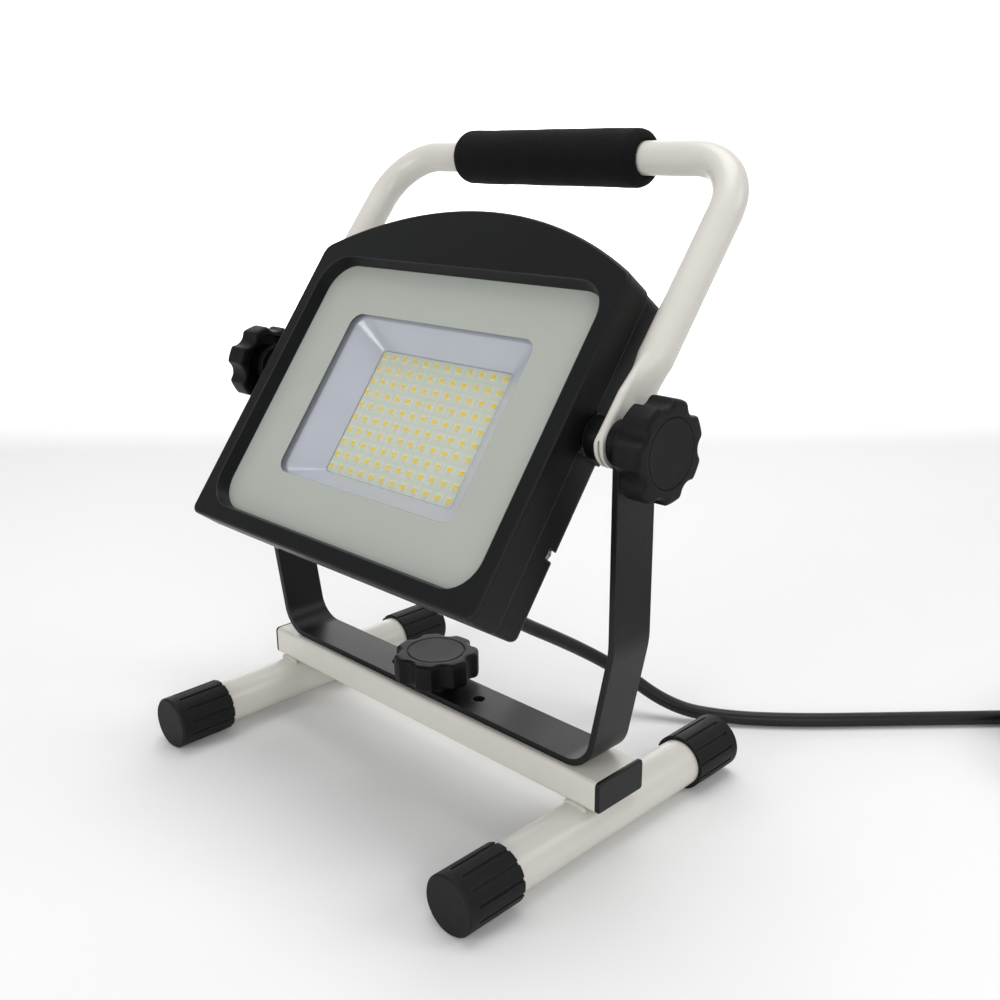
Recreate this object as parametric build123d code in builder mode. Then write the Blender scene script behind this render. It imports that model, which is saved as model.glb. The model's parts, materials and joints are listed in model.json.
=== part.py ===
"""A portable LED work light: a flood lamp in a clamped U-bracket on a tubular stand.

Units are millimetres. The pieces are drawn with the swivel bolt on the Z axis, and each is
moved by frame_shift as it is saved, so the origin is on the floor under the middle of the box
round the stand and handle. +Z is up, +X is along the crossbar and the lamp shines towards -Y.
"""
from build123d import *
import math
import os

os.makedirs("parts", exist_ok=True)


# ---------------------------------------------------------------- driving dimensions
# Stand
foot_tube_d = 22.0  # round foot tubes, front to back
foot_tube_wall = 1.5
foot_spacing = 207.0  # between the two foot tubes' axes
foot_length = 178.5  # over the end faces of the caps
cap_wall = 2.0
cap_end = 2.5
cap_length = 30.0
cap_flat = 0.2  # how much the rib that stands on the floor is flattened
cap_grooves = 12
cap_groove_w = 1.6
cap_groove_depth = 0.8
cap_smooth_end = 5.0  # plain stretch before the grooves begin
bar_length = 232.0  # crossbar, over its end plugs
bar_width = 30.0
bar_height = 14.5
bar_wall = 1.5
bar_corner = 2.0
plug_face = 2.0
plug_insert = 14.0
weld_leg = 2.2

# U-bracket
strip_width = 23.0
strip_thick = 3.0
arm_outer_x = 119.5  # outer faces of the upright arms
arm_bend_z = 97.0  # where the arms lean inwards
heel_x = 107.5  # outer face at the foot of the lean
heel_z = 47.0
heel_radius = 15.0
bend_radius = 40.0
arm_above_pivot = 12.0
side_hole_x = 29.5  # two spare holes beside the swivel bolt
side_hole_d = 6.0

# Pivot line and screws
pivot_z = 181.0
bolt_d = 7.9  # M8 studs and bolt
running_gap = 0.05  # radial gap of a pivot hole round its bolt
knob_d = 41.5
knob_height = 14.4
knob_lobes = 7
knob_scallop_r = 6.2
knob_hub_d = 20.0
knob_hub_h = 1.6
knob_gap = 0.3  # running gap between a knob and its washer
washer_d = 20.0
washer_thick = 1.2
insert_d = 14.0
insert_h = 7.0
spacer_d = 18.6
boss_d = 18.0

# Carry handle
handle_tilt = 38.7  # degrees back from upright, at rest
handle_tube_d = 15.0
handle_wall = 1.2
handle_reach = 133.5  # pivot line to the middle of the grip
handle_arm_x = 108.6
handle_bend = 27.0
tab_thick = 4.5  # flattened ends of the tube
tab_width = 21.5
tab_slit = 0.9
tab_length = 17.0
tab_taper = 20.0
grip_d = 26.5
grip_length = 114.8
grip_shift = -2.3
grip_gap = 0.1

# Lamp, measured from the pivot line: v runs up the lamp's face, n out of it
lamp_tilt = 36.7
lamp_width = 197.0
lamp_bottom_v = -88.0
lamp_corner_v = 61.6
lamp_arch_v = 87.0
lamp_front_n = 21.0
lamp_parting_n = 6.0
housing_floor_n = -0.3
housing_floor = 3.0
housing_inset = 0.8  # the housing's side stands this far inside the bezel's
skirt_depth = 6.5  # rim that stands out of the housing's back, all round
skirt_wall = 3.5
rim_wall = 5.5
corner_low = 4.0
corner_top = 7.0
window_width = 178.0  # opening at the glass
window_low_v = -78.6
window_top_v = 55.6
window_flare = 1.4  # the opening grows by this on each side at the front
window_corner = 15.0
glass_n = 14.3
glass_thick = 3.0
glass_lap = 4.0  # glass under the bezel, on each side
gasket_width = 6.0
fit_gap = 0.3
reflector_width = 119.8
reflector_height = 83.9
reflector_v = -11.9
reflector_corner = 7.0
reflector_wall = 1.0
reflector_flange = 5.0
well_width = 85.6  # the reflector's opening at the board
well_height = 64.2
well_v = -13.2
well_corner = 1.5
board_thick = 1.6
board_margin = 5.8
led_columns = 12
led_rows = 10
led_pitch_x = 7.38
led_pitch_v = 6.49
led_w = 3.2
led_h = 2.6
led_thick = 0.7

# Back of the lamp
fin_thick = 2.2
fin_pitch = 8.0
fin_depth = 11.0
fin_outer_x = 90.0
fin_low_v = -51.0
fin_top_v = 46.0
cover_width = 112.0
cover_low_v = -82.0
cover_top_v = -6.0
cover_depth = 24.0
cover_wall = 2.5
cover_corner = 6.0
cover_gasket = 1.0
gland_x = 20.0
gland_v = -70.0
gland_d = 19.0
gland_flange = 5.0
gland_nut_d = 17.0
gland_nut = 8.0
relief_length = 28.0
relief_d = 11.0
screw_d = 2.9  # M3
screw_head_d = 5.6
screw_head = 2.0

# Lead
cord_d = 7.2
coil_turn_out = 43.6  # middle radius of the coil's outer turns
coil_layers = 3
coil_whole_turns = 4
plug_d = 36.0
plug_length = 40.0
pin_d = 4.8
pin_length = 19.0
pin_spacing = 19.0

# ---------------------------------------------------------------- derived places
foot_axis_z = foot_tube_d / 2 + cap_wall - cap_flat
bar_bottom_z = foot_axis_z + foot_tube_d / 2
bar_top_z = bar_bottom_z + bar_height
strip_top_z = bar_top_z + strip_thick
arm_inner_x = arm_outer_x - strip_thick
hole_r = bolt_d / 2 + running_gap
tab_inner_x = handle_arm_x - tab_thick / 2
tab_outer_x = handle_arm_x + tab_thick / 2
tilt = math.radians(lamp_tilt)
housing_back_n = housing_floor_n - housing_floor
cover_back_n = housing_back_n - cover_gasket - cover_depth
sides = (("left", -1), ("right", 1))
grip_rear_y = handle_reach * math.sin(math.radians(handle_tilt)) + grip_d / 2
frame_shift = (0, (foot_length / 2 - grip_rear_y) / 2, 0)


def lamp_plane(n):
    """The plane parallel to the lamp's face at height n; its x is X and its y runs up the face."""
    normal = (0, -math.cos(tilt), math.sin(tilt))
    return Plane(
        origin=(0, n * normal[1], pivot_z + n * normal[2]), x_dir=(1, 0, 0), z_dir=normal
    )


def lamp_side(x):
    """The plane across the lamp at x, looking along +X; its x runs back (-n), its y up (v)."""
    return Plane(
        origin=(x, 0, pivot_z),
        x_dir=(0, math.cos(tilt), -math.sin(tilt)),
        z_dir=(1, 0, 0),
    )


def save(part, label):
    """Moves a finished piece into the frame, labels it and writes its STEP file."""
    piece = part.part.moved(Location(frame_shift))
    piece.label = label
    export_step(piece, f"parts/{label}.step")
    print(f"{label}: {len(part.part.solids())} solid(s), {part.part.volume / 1000:.2f} cm3")


# ---------------------------------------------------------------- stand
for name, side in sides:
    foot_x = side * foot_spacing / 2
    with BuildPart() as foot_tube:
        with BuildSketch(Plane.XZ):
            with Locations((foot_x, foot_axis_z)):
                Circle(foot_tube_d / 2)
                Circle(foot_tube_d / 2 - foot_tube_wall, mode=Mode.SUBTRACT)
        extrude(amount=foot_length / 2 - cap_end, both=True)
    save(foot_tube, f"foot_tube_{name}")

    for end_name, end in (("front", -1), ("rear", 1)):
        face = Plane(
            origin=(foot_x, end * foot_length / 2, foot_axis_z),
            x_dir=(1, 0, 0),
            z_dir=(0, -end, 0),
        )
        cap_r = foot_tube_d / 2 + cap_wall
        with BuildPart() as foot_cap:
            with BuildSketch(face):
                Circle(cap_r)
            extrude(amount=cap_length)
            chamfer(foot_cap.edges().group_by(Axis.Y)[-1 if end > 0 else 0], 0.9)
            with BuildSketch(face.offset(cap_end)):
                Circle(foot_tube_d / 2)
            extrude(amount=cap_length, mode=Mode.SUBTRACT)
            with BuildSketch(face.offset(cap_smooth_end)):
                with PolarLocations(cap_r, cap_grooves, start_angle=180 / cap_grooves):
                    Rectangle(2 * cap_groove_depth, cap_groove_w)
            extrude(amount=cap_length, mode=Mode.SUBTRACT)
            with Locations((foot_x, end * foot_length / 2, -foot_length / 2)):
                Box(foot_length, foot_length, foot_length, mode=Mode.SUBTRACT)
        save(foot_cap, f"foot_cap_{end_name}_{name}")

with BuildPart() as crossbar:
    with BuildSketch(Plane.YZ):
        with Locations((0, bar_bottom_z + bar_height / 2)):
            RectangleRounded(bar_width, bar_height, bar_corner)
            RectangleRounded(
                bar_width - 2 * bar_wall,
                bar_height - 2 * bar_wall,
                bar_corner - bar_wall + 0.1,
                mode=Mode.SUBTRACT,
            )
    extrude(amount=bar_length / 2 - plug_face, both=True)
    with BuildSketch(Plane.XY.offset(bar_bottom_z)):
        Circle(hole_r)
    extrude(amount=bar_height, mode=Mode.SUBTRACT)
save(crossbar, "crossbar")

for name, side in sides:
    with BuildPart() as bar_plug:
        with BuildSketch(Plane.YZ.offset(side * bar_length / 2)):
            with Locations((0, bar_bottom_z + bar_height / 2)):
                RectangleRounded(bar_width, bar_height, bar_corner)
        extrude(amount=-side * plug_face)
        outer_face = bar_plug.faces().sort_by(Axis.X)[-1 if side > 0 else 0]
        chamfer(outer_face.edges(), 0.7)
        with BuildSketch(Plane.YZ.offset(side * (bar_length / 2 - plug_face))):
            with Locations((0, bar_bottom_z + bar_height / 2)):
                Rectangle(bar_width - 2 * bar_wall - 0.6, bar_height - 2 * bar_wall - 0.6)
        extrude(amount=-side * plug_insert)
    save(bar_plug, f"crossbar_plug_{name}")

with BuildPart() as weld_beads:
    for name, side in sides:
        for edge in (-1, 1):
            bead = Plane.YZ.offset(side * foot_spacing / 2)
            with BuildSketch(bead):
                with Locations((edge * bar_width / 2, bar_bottom_z)):
                    Circle(weld_leg)
            extrude(amount=foot_tube_d / 5, both=True)
    with Locations((0, 0, bar_bottom_z + bar_height / 2)):
        Box(bar_length, bar_width, bar_height, mode=Mode.SUBTRACT)
    for name, side in sides:
        with Locations((side * foot_spacing / 2, 0, foot_axis_z)):
            Cylinder(
                foot_tube_d / 2, foot_length, rotation=(90, 0, 0), mode=Mode.SUBTRACT
            )
save(weld_beads, "weld_beads")

bolt_head = 4.5
swivel_top_z = strip_top_z + washer_thick + knob_gap + insert_h + 1.5
with BuildPart() as swivel_bolt:
    with BuildSketch(Plane.XY.offset(bar_bottom_z)):
        Circle(bolt_d)
    extrude(amount=-bolt_head)
    fillet(swivel_bolt.edges().group_by(Axis.Z)[0], 2.0)
    with BuildSketch(Plane.XY.offset(bar_bottom_z)):
        Circle(bolt_d / 2)
    extrude(amount=swivel_top_z - bar_bottom_z)
    chamfer(swivel_bolt.edges().group_by(Axis.Z)[-1], 0.8)
save(swivel_bolt, "swivel_bolt")

# ---------------------------------------------------------------- U-bracket
centre_x = arm_outer_x - strip_thick / 2
heel_centre_x = heel_x - strip_thick / 2
with BuildPart() as u_bracket:
    with BuildSketch(Plane.XZ):
        with BuildLine():
            FilletPolyline(
                (-centre_x, pivot_z + arm_above_pivot),
                (-centre_x, arm_bend_z),
                (-heel_centre_x, strip_top_z - strip_thick / 2),
                (heel_centre_x, strip_top_z - strip_thick / 2),
                (centre_x, arm_bend_z),
                (centre_x, pivot_z + arm_above_pivot),
                radius=[bend_radius, heel_radius, heel_radius, bend_radius],
            )
        trace(line_width=strip_thick)
    extrude(amount=strip_width / 2, both=True)
    tops = u_bracket.faces().group_by(Axis.Z)[-1]
    fillet(tops.edges().filter_by(Axis.X), strip_width / 2 - 0.2)
    with BuildSketch(Plane.YZ.offset(-arm_outer_x)):
        with Locations((0, pivot_z)):
            Circle(hole_r)
    extrude(amount=2 * arm_outer_x, mode=Mode.SUBTRACT)
    with BuildSketch(Plane.XY.offset(bar_top_z)):
        Circle(hole_r)
        with Locations((-side_hole_x, 0), (side_hole_x, 0)):
            Circle(side_hole_d / 2)
    extrude(amount=strip_thick, mode=Mode.SUBTRACT)
save(u_bracket, "u_bracket")

with BuildPart() as swivel_washer:
    with BuildSketch(Plane.XY.offset(strip_top_z)):
        Circle(washer_d / 2)
        Circle(hole_r, mode=Mode.SUBTRACT)
    extrude(amount=washer_thick)
save(swivel_washer, "swivel_washer")


def star_outline():
    """A knob's outline: a circle with a round scallop between each two lobes."""
    with BuildSketch() as outline:
        Circle(knob_d / 2)
        with PolarLocations(knob_d / 2 + knob_scallop_r * 0.55, knob_lobes):
            Circle(knob_scallop_r, mode=Mode.SUBTRACT)
        fillet(outline.vertices(), 1.6)
    return outline.sketch


def star_knob(seat, label):
    """A hollow-backed star knob standing on the plane `seat`, and its threaded insert."""
    star = star_outline()
    with BuildPart() as knob:
        with BuildSketch(seat):
            Circle(knob_hub_d / 2)
        extrude(amount=knob_hub_h)
        with BuildSketch(seat.offset(knob_hub_h)):
            add(star)
        extrude(amount=knob_height - knob_hub_h)
        crown = knob.faces().filter_by(Plane(origin=(0, 0, 0), z_dir=seat.z_dir))
        crown = crown.sort_by(Axis(seat.origin, seat.z_dir))[-1]
        fillet(crown.edges(), 1.4)
        with BuildSketch(seat.offset(knob_height)):
            Circle(knob_d * 0.335)
            Circle(knob_d * 0.335 - 0.7, mode=Mode.SUBTRACT)
        extrude(amount=-0.6, mode=Mode.SUBTRACT)
        with BuildSketch(seat.offset(knob_hub_h)):
            Circle(knob_d / 2 - 7.0)
            Circle(knob_hub_d / 2, mode=Mode.SUBTRACT)
        extrude(amount=knob_height - knob_hub_h - 3.0, mode=Mode.SUBTRACT)
        with BuildSketch(seat):
            Circle(insert_d / 2)
        extrude(amount=insert_h, mode=Mode.SUBTRACT)
        with BuildSketch(seat):
            Circle(bolt_d / 2 + 0.4)
        extrude(amount=insert_h + 2.0, mode=Mode.SUBTRACT)
    save(knob, label)
    with BuildPart() as insert:
        with BuildSketch(seat):
            Circle(insert_d / 2)
            Circle(hole_r, mode=Mode.SUBTRACT)
        extrude(amount=insert_h)
    save(insert, f"{label}_insert")


star_knob(Plane.XY.offset(strip_top_z + washer_thick + knob_gap), "base_knob")

# ---------------------------------------------------------------- side clamps
knob_seat_x = arm_outer_x + washer_thick + knob_gap
stud_inner_x = lamp_width / 2 - 10.0
for name, side in sides:
    out = (side, 0, 0)

    def across(x):
        """The plane across the pivot line at distance x from the middle, facing outwards."""
        return Plane(origin=(side * x, 0, pivot_z), x_dir=(0, 1, 0), z_dir=out)

    with BuildPart() as stud:
        with BuildSketch(across(stud_inner_x)):
            Circle(bolt_d / 2)
        extrude(amount=knob_seat_x + insert_h + 1.5 - stud_inner_x)
        tip = stud.faces().sort_by(Axis((0, 0, 0), out))[-1]
        chamfer(tip.edges(), 0.8)
    save(stud, f"pivot_stud_{name}")

    with BuildPart() as spacer:
        with BuildSketch(across(tab_outer_x)):
            Circle(spacer_d / 2)
            Circle(hole_r, mode=Mode.SUBTRACT)
        extrude(amount=arm_inner_x - tab_outer_x)
    save(spacer, f"pivot_spacer_{name}")

    with BuildPart() as washer:
        with BuildSketch(across(arm_outer_x)):
            Circle(washer_d / 2)
            Circle(hole_r, mode=Mode.SUBTRACT)
        extrude(amount=washer_thick)
    save(washer, f"pivot_washer_{name}")

    star_knob(across(knob_seat_x), f"side_knob_{name}")

# ---------------------------------------------------------------- carry handle
lean = math.radians(handle_tilt)
handle_up = (0, math.sin(lean), math.cos(lean))
handle_plane = Plane(
    origin=(0, 0, pivot_z), x_dir=(1, 0, 0), z_dir=(0, -math.cos(lean), math.sin(lean))
)


def handle_station(side, s):
    """The plane across one arm of the handle at distance s up from the pivot line."""
    return Plane(
        origin=(side * handle_arm_x, s * handle_up[1], pivot_z + s * handle_up[2]),
        x_dir=(1, 0, 0),
        z_dir=handle_up,
    )


def handle_solid(tube_r, tab_x, tab_y):
    """The bent tube with both ends pressed flat, for the outside and for the bore."""
    start = tab_length + tab_taper
    with BuildPart() as bent:
        with BuildLine(handle_plane):
            FilletPolyline(
                (-handle_arm_x, start),
                (-handle_arm_x, handle_reach),
                (handle_arm_x, handle_reach),
                (handle_arm_x, start),
                radius=handle_bend,
            )
        with BuildSketch(handle_station(-1, start)):
            Circle(tube_r)
        sweep()
        for side in (-1, 1):
            with BuildSketch(handle_station(side, start)):
                Circle(tube_r)
            with BuildSketch(handle_station(side, tab_length)):
                RectangleRounded(tab_x, tab_y, tab_x / 2 - 0.02)
            loft()
            with BuildSketch(handle_station(side, tab_length)):
                RectangleRounded(tab_x, tab_y, tab_x / 2 - 0.02)
            extrude(amount=-(tab_length + tab_width))
    return bent.part


handle_outer = handle_solid(handle_tube_d / 2, tab_thick, tab_width)
handle_bore = handle_solid(
    handle_tube_d / 2 - handle_wall, tab_slit, tab_width - 2 * handle_wall
)
with BuildPart() as handle_tube:
    add(handle_outer)
    add(handle_bore, mode=Mode.SUBTRACT)
    for side in (-1, 1):
        trim = Plane(
            origin=(side * handle_arm_x - tab_thick, 0, pivot_z),
            x_dir=(0, math.cos(lean), -math.sin(lean)),
            z_dir=(1, 0, 0),
        )
        with BuildSketch(trim):
            with Locations((0, -1.5 * tab_width)):
                Rectangle(3 * tab_width, 3 * tab_width)
            Circle(tab_width / 2, mode=Mode.SUBTRACT)
            Circle(hole_r)
        extrude(amount=2 * tab_thick, mode=Mode.SUBTRACT)
save(handle_tube, "handle_tube")

bar_middle = handle_station(1, handle_reach).origin
with BuildPart() as handle_grip:
    grip_start = Plane(
        origin=(grip_shift - grip_length / 2, bar_middle.Y, bar_middle.Z),
        x_dir=(0, 1, 0),
        z_dir=(1, 0, 0),
    )
    with BuildSketch(grip_start):
        Circle(grip_d / 2)
        Circle(handle_tube_d / 2 + grip_gap, mode=Mode.SUBTRACT)
    extrude(amount=grip_length)
    rims = handle_grip.edges().filter_by(GeomType.CIRCLE)
    rims = rims.filter_by(lambda e: e.radius > grip_d / 2 - 0.1)
    fillet(rims, 4.0)
save(handle_grip, "handle_grip")


# ---------------------------------------------------------------- lamp outlines
def lamp_outline(inset=0.0):
    """The lamp's face outline: straight sides, round lower corners and an arched top."""
    half = lamp_width / 2
    with BuildSketch() as outline:
        with BuildLine():
            Polyline(
                (-half, lamp_corner_v), (-half, lamp_bottom_v),
                (half, lamp_bottom_v), (half, lamp_corner_v),
            )
            ThreePointArc(
                (half, lamp_corner_v), (0, lamp_arch_v), (-half, lamp_corner_v)
            )
        make_face()
        fillet(outline.vertices().group_by(Axis.Y)[0], corner_low)
        fillet(outline.vertices().group_by(Axis.Y)[-1], corner_top)
        if inset:
            offset(amount=-inset, mode=Mode.REPLACE)
    return outline.sketch


def window_outline(grow=0.0, corner=window_corner):
    """The glass opening's outline, grown by `grow` on every side."""
    width = window_width + 2 * grow
    height = window_top_v - window_low_v + 2 * grow
    with BuildSketch() as outline:
        with Locations((0, (window_top_v + window_low_v) / 2)):
            RectangleRounded(width, height, corner)
    return outline.sketch


def crescent(inset):
    """The hollow behind the arched top, clear of the window's pocket."""
    with BuildSketch() as hollow:
        add(lamp_outline(inset))
        with Locations((0, window_top_v + glass_lap + 4.5 + lamp_width / 2)):
            Rectangle(lamp_width - 60.0, lamp_width, mode=Mode.INTERSECT)
    return hollow.sketch


pocket_grow = glass_lap + fit_gap
gasket_low_n = lamp_parting_n
glass_back_n = glass_n - glass_thick
bezel_screw_v = (40.0, -50.0)
bezel_screw_x = 58.0
screw_places = [(s * (lamp_width / 2 - 3.3), v) for s in (-1, 1) for v in bezel_screw_v]
screw_places += [(s * bezel_screw_x, lamp_bottom_v + 3.3) for s in (-1, 1)]
screw_places += [(s * bezel_screw_x, window_top_v + glass_lap + 3.2) for s in (-1, 1)]
bezel_thread = 8.0

with BuildPart() as front_bezel:
    with BuildSketch(lamp_plane(lamp_parting_n)):
        add(lamp_outline())
    extrude(amount=lamp_front_n - lamp_parting_n)
    front = front_bezel.faces().sort_by(Axis((0, 0, 0), lamp_plane(0).z_dir))[-1]
    fillet(front.edges(), 1.6)
    with BuildSketch(lamp_plane(lamp_parting_n)):
        add(window_outline(pocket_grow, window_corner + 2))
    extrude(amount=glass_n - lamp_parting_n, mode=Mode.SUBTRACT)
    with BuildSketch(lamp_plane(glass_n)):
        add(window_outline())
    with BuildSketch(lamp_plane(lamp_front_n)):
        add(window_outline(window_flare, window_corner + 1))
    loft(mode=Mode.SUBTRACT)
    with BuildSketch(lamp_plane(lamp_parting_n)):
        add(crescent(6.0))
    extrude(amount=lamp_front_n - lamp_parting_n - 3.0, mode=Mode.SUBTRACT)
    with BuildSketch(lamp_plane(lamp_parting_n)):
        with Locations(*screw_places):
            Circle(screw_d / 2 + running_gap)
    extrude(amount=bezel_thread, mode=Mode.SUBTRACT)
save(front_bezel, "front_bezel")

with BuildPart() as front_glass:
    with BuildSketch(lamp_plane(glass_back_n)):
        add(window_outline(glass_lap, window_corner + 1))
    extrude(amount=glass_thick)
save(front_glass, "front_glass")

with BuildPart() as glass_gasket:
    with BuildSketch(lamp_plane(gasket_low_n)):
        add(window_outline(glass_lap, window_corner + 1))
        add(window_outline(glass_lap - gasket_width, window_corner - 3), mode=Mode.SUBTRACT)
    extrude(amount=glass_back_n - gasket_low_n)
save(glass_gasket, "glass_gasket")

# ---------------------------------------------------------------- reflector, board, LEDs
board_front_n = housing_floor_n + board_thick
flange_top_n = glass_back_n - fit_gap


def funnel(grow):
    """A funnel from the board's opening to the reflector's mouth, grown by `grow`."""
    with BuildPart() as solid:
        with BuildSketch(lamp_plane(board_front_n)):
            with Locations((0, well_v)):
                RectangleRounded(
                    well_width + 2 * grow, well_height + 2 * grow, well_corner + grow
                )
        with BuildSketch(lamp_plane(flange_top_n)):
            with Locations((0, reflector_v)):
                RectangleRounded(
                    reflector_width + 2 * grow,
                    reflector_height + 2 * grow,
                    reflector_corner + grow,
                )
        loft()
    return solid.part


funnel_outside = funnel(reflector_wall)
funnel_inside = funnel(0.0)
with BuildPart() as reflector:
    add(funnel_outside)
    with BuildSketch(lamp_plane(flange_top_n - reflector_wall)):
        with Locations((0, reflector_v)):
            RectangleRounded(
                reflector_width + 2 * reflector_flange,
                reflector_height + 2 * reflector_flange,
                reflector_corner + reflector_flange,
            )
    extrude(amount=reflector_wall)
    add(funnel_inside, mode=Mode.SUBTRACT)
save(reflector, "reflector")

board_width = well_width + 2 * board_margin
board_height = well_height + 2 * board_margin
board_screws = [
    (sx * (board_width / 2 - 2.6), well_v + sv * (board_height / 2 - 2.2))
    for sx in (-1, 1)
    for sv in (-1, 1)
]
with BuildPart() as led_board:
    with BuildSketch(lamp_plane(housing_floor_n)):
        with Locations((0, well_v)):
            RectangleRounded(board_width, board_height, 2.0)
        with Locations(*board_screws):
            Circle(1.2, mode=Mode.SUBTRACT)
    extrude(amount=board_thick)
save(led_board, "led_board")

with BuildPart() as board_screw_set:
    with BuildSketch(lamp_plane(board_front_n)):
        with Locations(*board_screws):
            Circle(1.9)
    extrude(amount=1.0)
    with BuildSketch(lamp_plane(board_front_n)):
        with Locations(*board_screws):
            Circle(1.1)
    extrude(amount=-board_thick - 2.0)
save(board_screw_set, "board_screws")

with BuildPart() as leds:
    with BuildSketch(lamp_plane(board_front_n)):
        with Locations((0, well_v)):
            with GridLocations(led_pitch_x, led_pitch_v, led_columns, led_rows):
                Rectangle(led_w, led_h)
    extrude(amount=led_thick)
save(leds, "leds")

# ---------------------------------------------------------------- rear housing
neck_half = boss_d / 2
fin_count = int((fin_outer_x - cover_width / 2) // fin_pitch)
centre_fins = int((cover_width / 2 - 4.0) // fin_pitch)
with BuildPart() as rear_housing:
    with BuildSketch(lamp_plane(housing_back_n - skirt_depth)):
        add(lamp_outline(housing_inset))
    extrude(amount=lamp_parting_n - housing_back_n + skirt_depth)
    back = rear_housing.faces().sort_by(Axis((0, 0, 0), lamp_plane(0).z_dir))[0]
    fillet(back.edges(), 3.0)
    with BuildSketch(lamp_plane(housing_back_n)):
        add(lamp_outline(housing_inset + skirt_wall))
    extrude(amount=-skirt_depth, mode=Mode.SUBTRACT)
    with BuildSketch(lamp_plane(housing_floor_n)):
        add(window_outline(glass_lap - gasket_width, window_corner - 3))
    extrude(amount=lamp_parting_n - housing_floor_n, mode=Mode.SUBTRACT)
    with BuildSketch(lamp_plane(housing_floor_n)):
        add(crescent(6.0))
    extrude(amount=lamp_parting_n - housing_floor_n, mode=Mode.SUBTRACT)
    # Fins: tall ones at both sides of the driver cover, and a middle bank above it
    for side in (-1, 1):
        for i in range(fin_count):
            x = side * (fin_outer_x - fin_thick / 2 - i * fin_pitch)
            with BuildSketch(lamp_plane(housing_back_n)):
                with Locations((x, (fin_low_v + fin_top_v) / 2)):
                    Rectangle(fin_thick, fin_top_v - fin_low_v)
            extrude(amount=-fin_depth)
    for i in range(-centre_fins, centre_fins + 1):
        with BuildSketch(lamp_plane(housing_back_n)):
            with Locations((i * fin_pitch, (cover_top_v + 6.0 + fin_top_v + 14.0) / 2)):
                Rectangle(fin_thick, fin_top_v + 14.0 - cover_top_v - 6.0)
        extrude(amount=-fin_depth)
    # Pivot bosses and the blocks that carry them
    for side in (-1, 1):
        x_in = lamp_width / 2 - 14.0
        with BuildSketch(lamp_side(side * x_in)):
            with Locations(((neck_half - lamp_parting_n + 0.4) / 2, 0)):
                Rectangle(neck_half + lamp_parting_n - 0.4, boss_d)
        extrude(amount=side * (lamp_width / 2 + 0.4 - x_in))
        with BuildSketch(lamp_side(side * (lamp_width / 2 + 0.4))):
            Circle(boss_d / 2)
        extrude(amount=side * (tab_inner_x - lamp_width / 2 - 0.4))
        # Lower corner webs, curved back under the fins
        with BuildSketch(lamp_side(side * (lamp_width / 2 - housing_inset - 13.0))):
            with BuildLine():
                Polyline(
                    (-housing_back_n - 1.0, -75.0),
                    (-housing_back_n - 1.0, -54.0),
                    (-housing_back_n + 6.0, -54.5),
                )
                ThreePointArc(
                    (-housing_back_n + 6.0, -54.5),
                    (-housing_back_n + 3.2, -66.0),
                    (-housing_back_n - 1.0, -75.0),
                )
            make_face()
        extrude(amount=side * 11.5)
    # Stud bores, lead hole to the driver and screw holes
    with BuildSketch(Plane.YZ.offset(-tab_inner_x)):
        with Locations((0, pivot_z)):
            Circle(bolt_d / 2 + 0.02)
    extrude(amount=tab_inner_x - stud_inner_x, mode=Mode.SUBTRACT)
    with BuildSketch(Plane.YZ.offset(stud_inner_x)):
        with Locations((0, pivot_z)):
            Circle(bolt_d / 2 + 0.02)
    extrude(amount=tab_inner_x - stud_inner_x, mode=Mode.SUBTRACT)
    with BuildSketch(lamp_plane(housing_back_n)):
        with Locations(*screw_places):
            Circle(screw_d / 2 + 0.2)
    extrude(amount=lamp_parting_n - housing_back_n, mode=Mode.SUBTRACT)
    with BuildSketch(lamp_plane(housing_back_n)):
        with Locations(*screw_places):
            Circle(screw_head_d / 2 + 0.4)
    extrude(amount=-skirt_depth, mode=Mode.SUBTRACT)
    with BuildSketch(lamp_plane(housing_floor_n)):
        with Locations(*board_screws):
            Circle(1.15)
    extrude(amount=-2.0, mode=Mode.SUBTRACT)
save(rear_housing, "rear_housing")

with BuildPart() as bezel_screws:
    with BuildSketch(lamp_plane(housing_back_n)):
        with Locations(*screw_places):
            Circle(screw_head_d / 2)
    extrude(amount=-screw_head)
    with BuildSketch(lamp_plane(housing_back_n)):
        with Locations(*screw_places):
            Circle(screw_d / 2)
    extrude(amount=lamp_parting_n - housing_back_n + bezel_thread - 1.0)
save(bezel_screws, "bezel_screws")

# ---------------------------------------------------------------- driver and its cover
cover_v = (cover_low_v + cover_top_v) / 2
cover_height = cover_top_v - cover_low_v
cover_top_n = housing_back_n - cover_gasket


def cover_outline(inset, corner):
    """The driver cover's outline, shrunk by `inset` on every side."""
    with BuildSketch() as outline:
        with Locations((0, cover_v)):
            RectangleRounded(cover_width - 2 * inset, cover_height - 2 * inset, corner)
    return outline.sketch


cover_boss = 4.0
cover_screws = [
    (sx * (cover_width / 2 - cover_boss - 1.0), cover_v + sv * (cover_height / 2 - cover_boss - 1.0))
    for sx, sv in ((-1, -1), (-1, 1), (1, -1), (1, 1))
]
with BuildPart() as cover_seal:
    with BuildSketch(lamp_plane(cover_top_n)):
        add(cover_outline(0.4, cover_corner - 0.4))
        add(cover_outline(cover_wall + 0.6, cover_corner - cover_wall), mode=Mode.SUBTRACT)
    extrude(amount=cover_gasket)
save(cover_seal, "driver_cover_seal")

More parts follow.
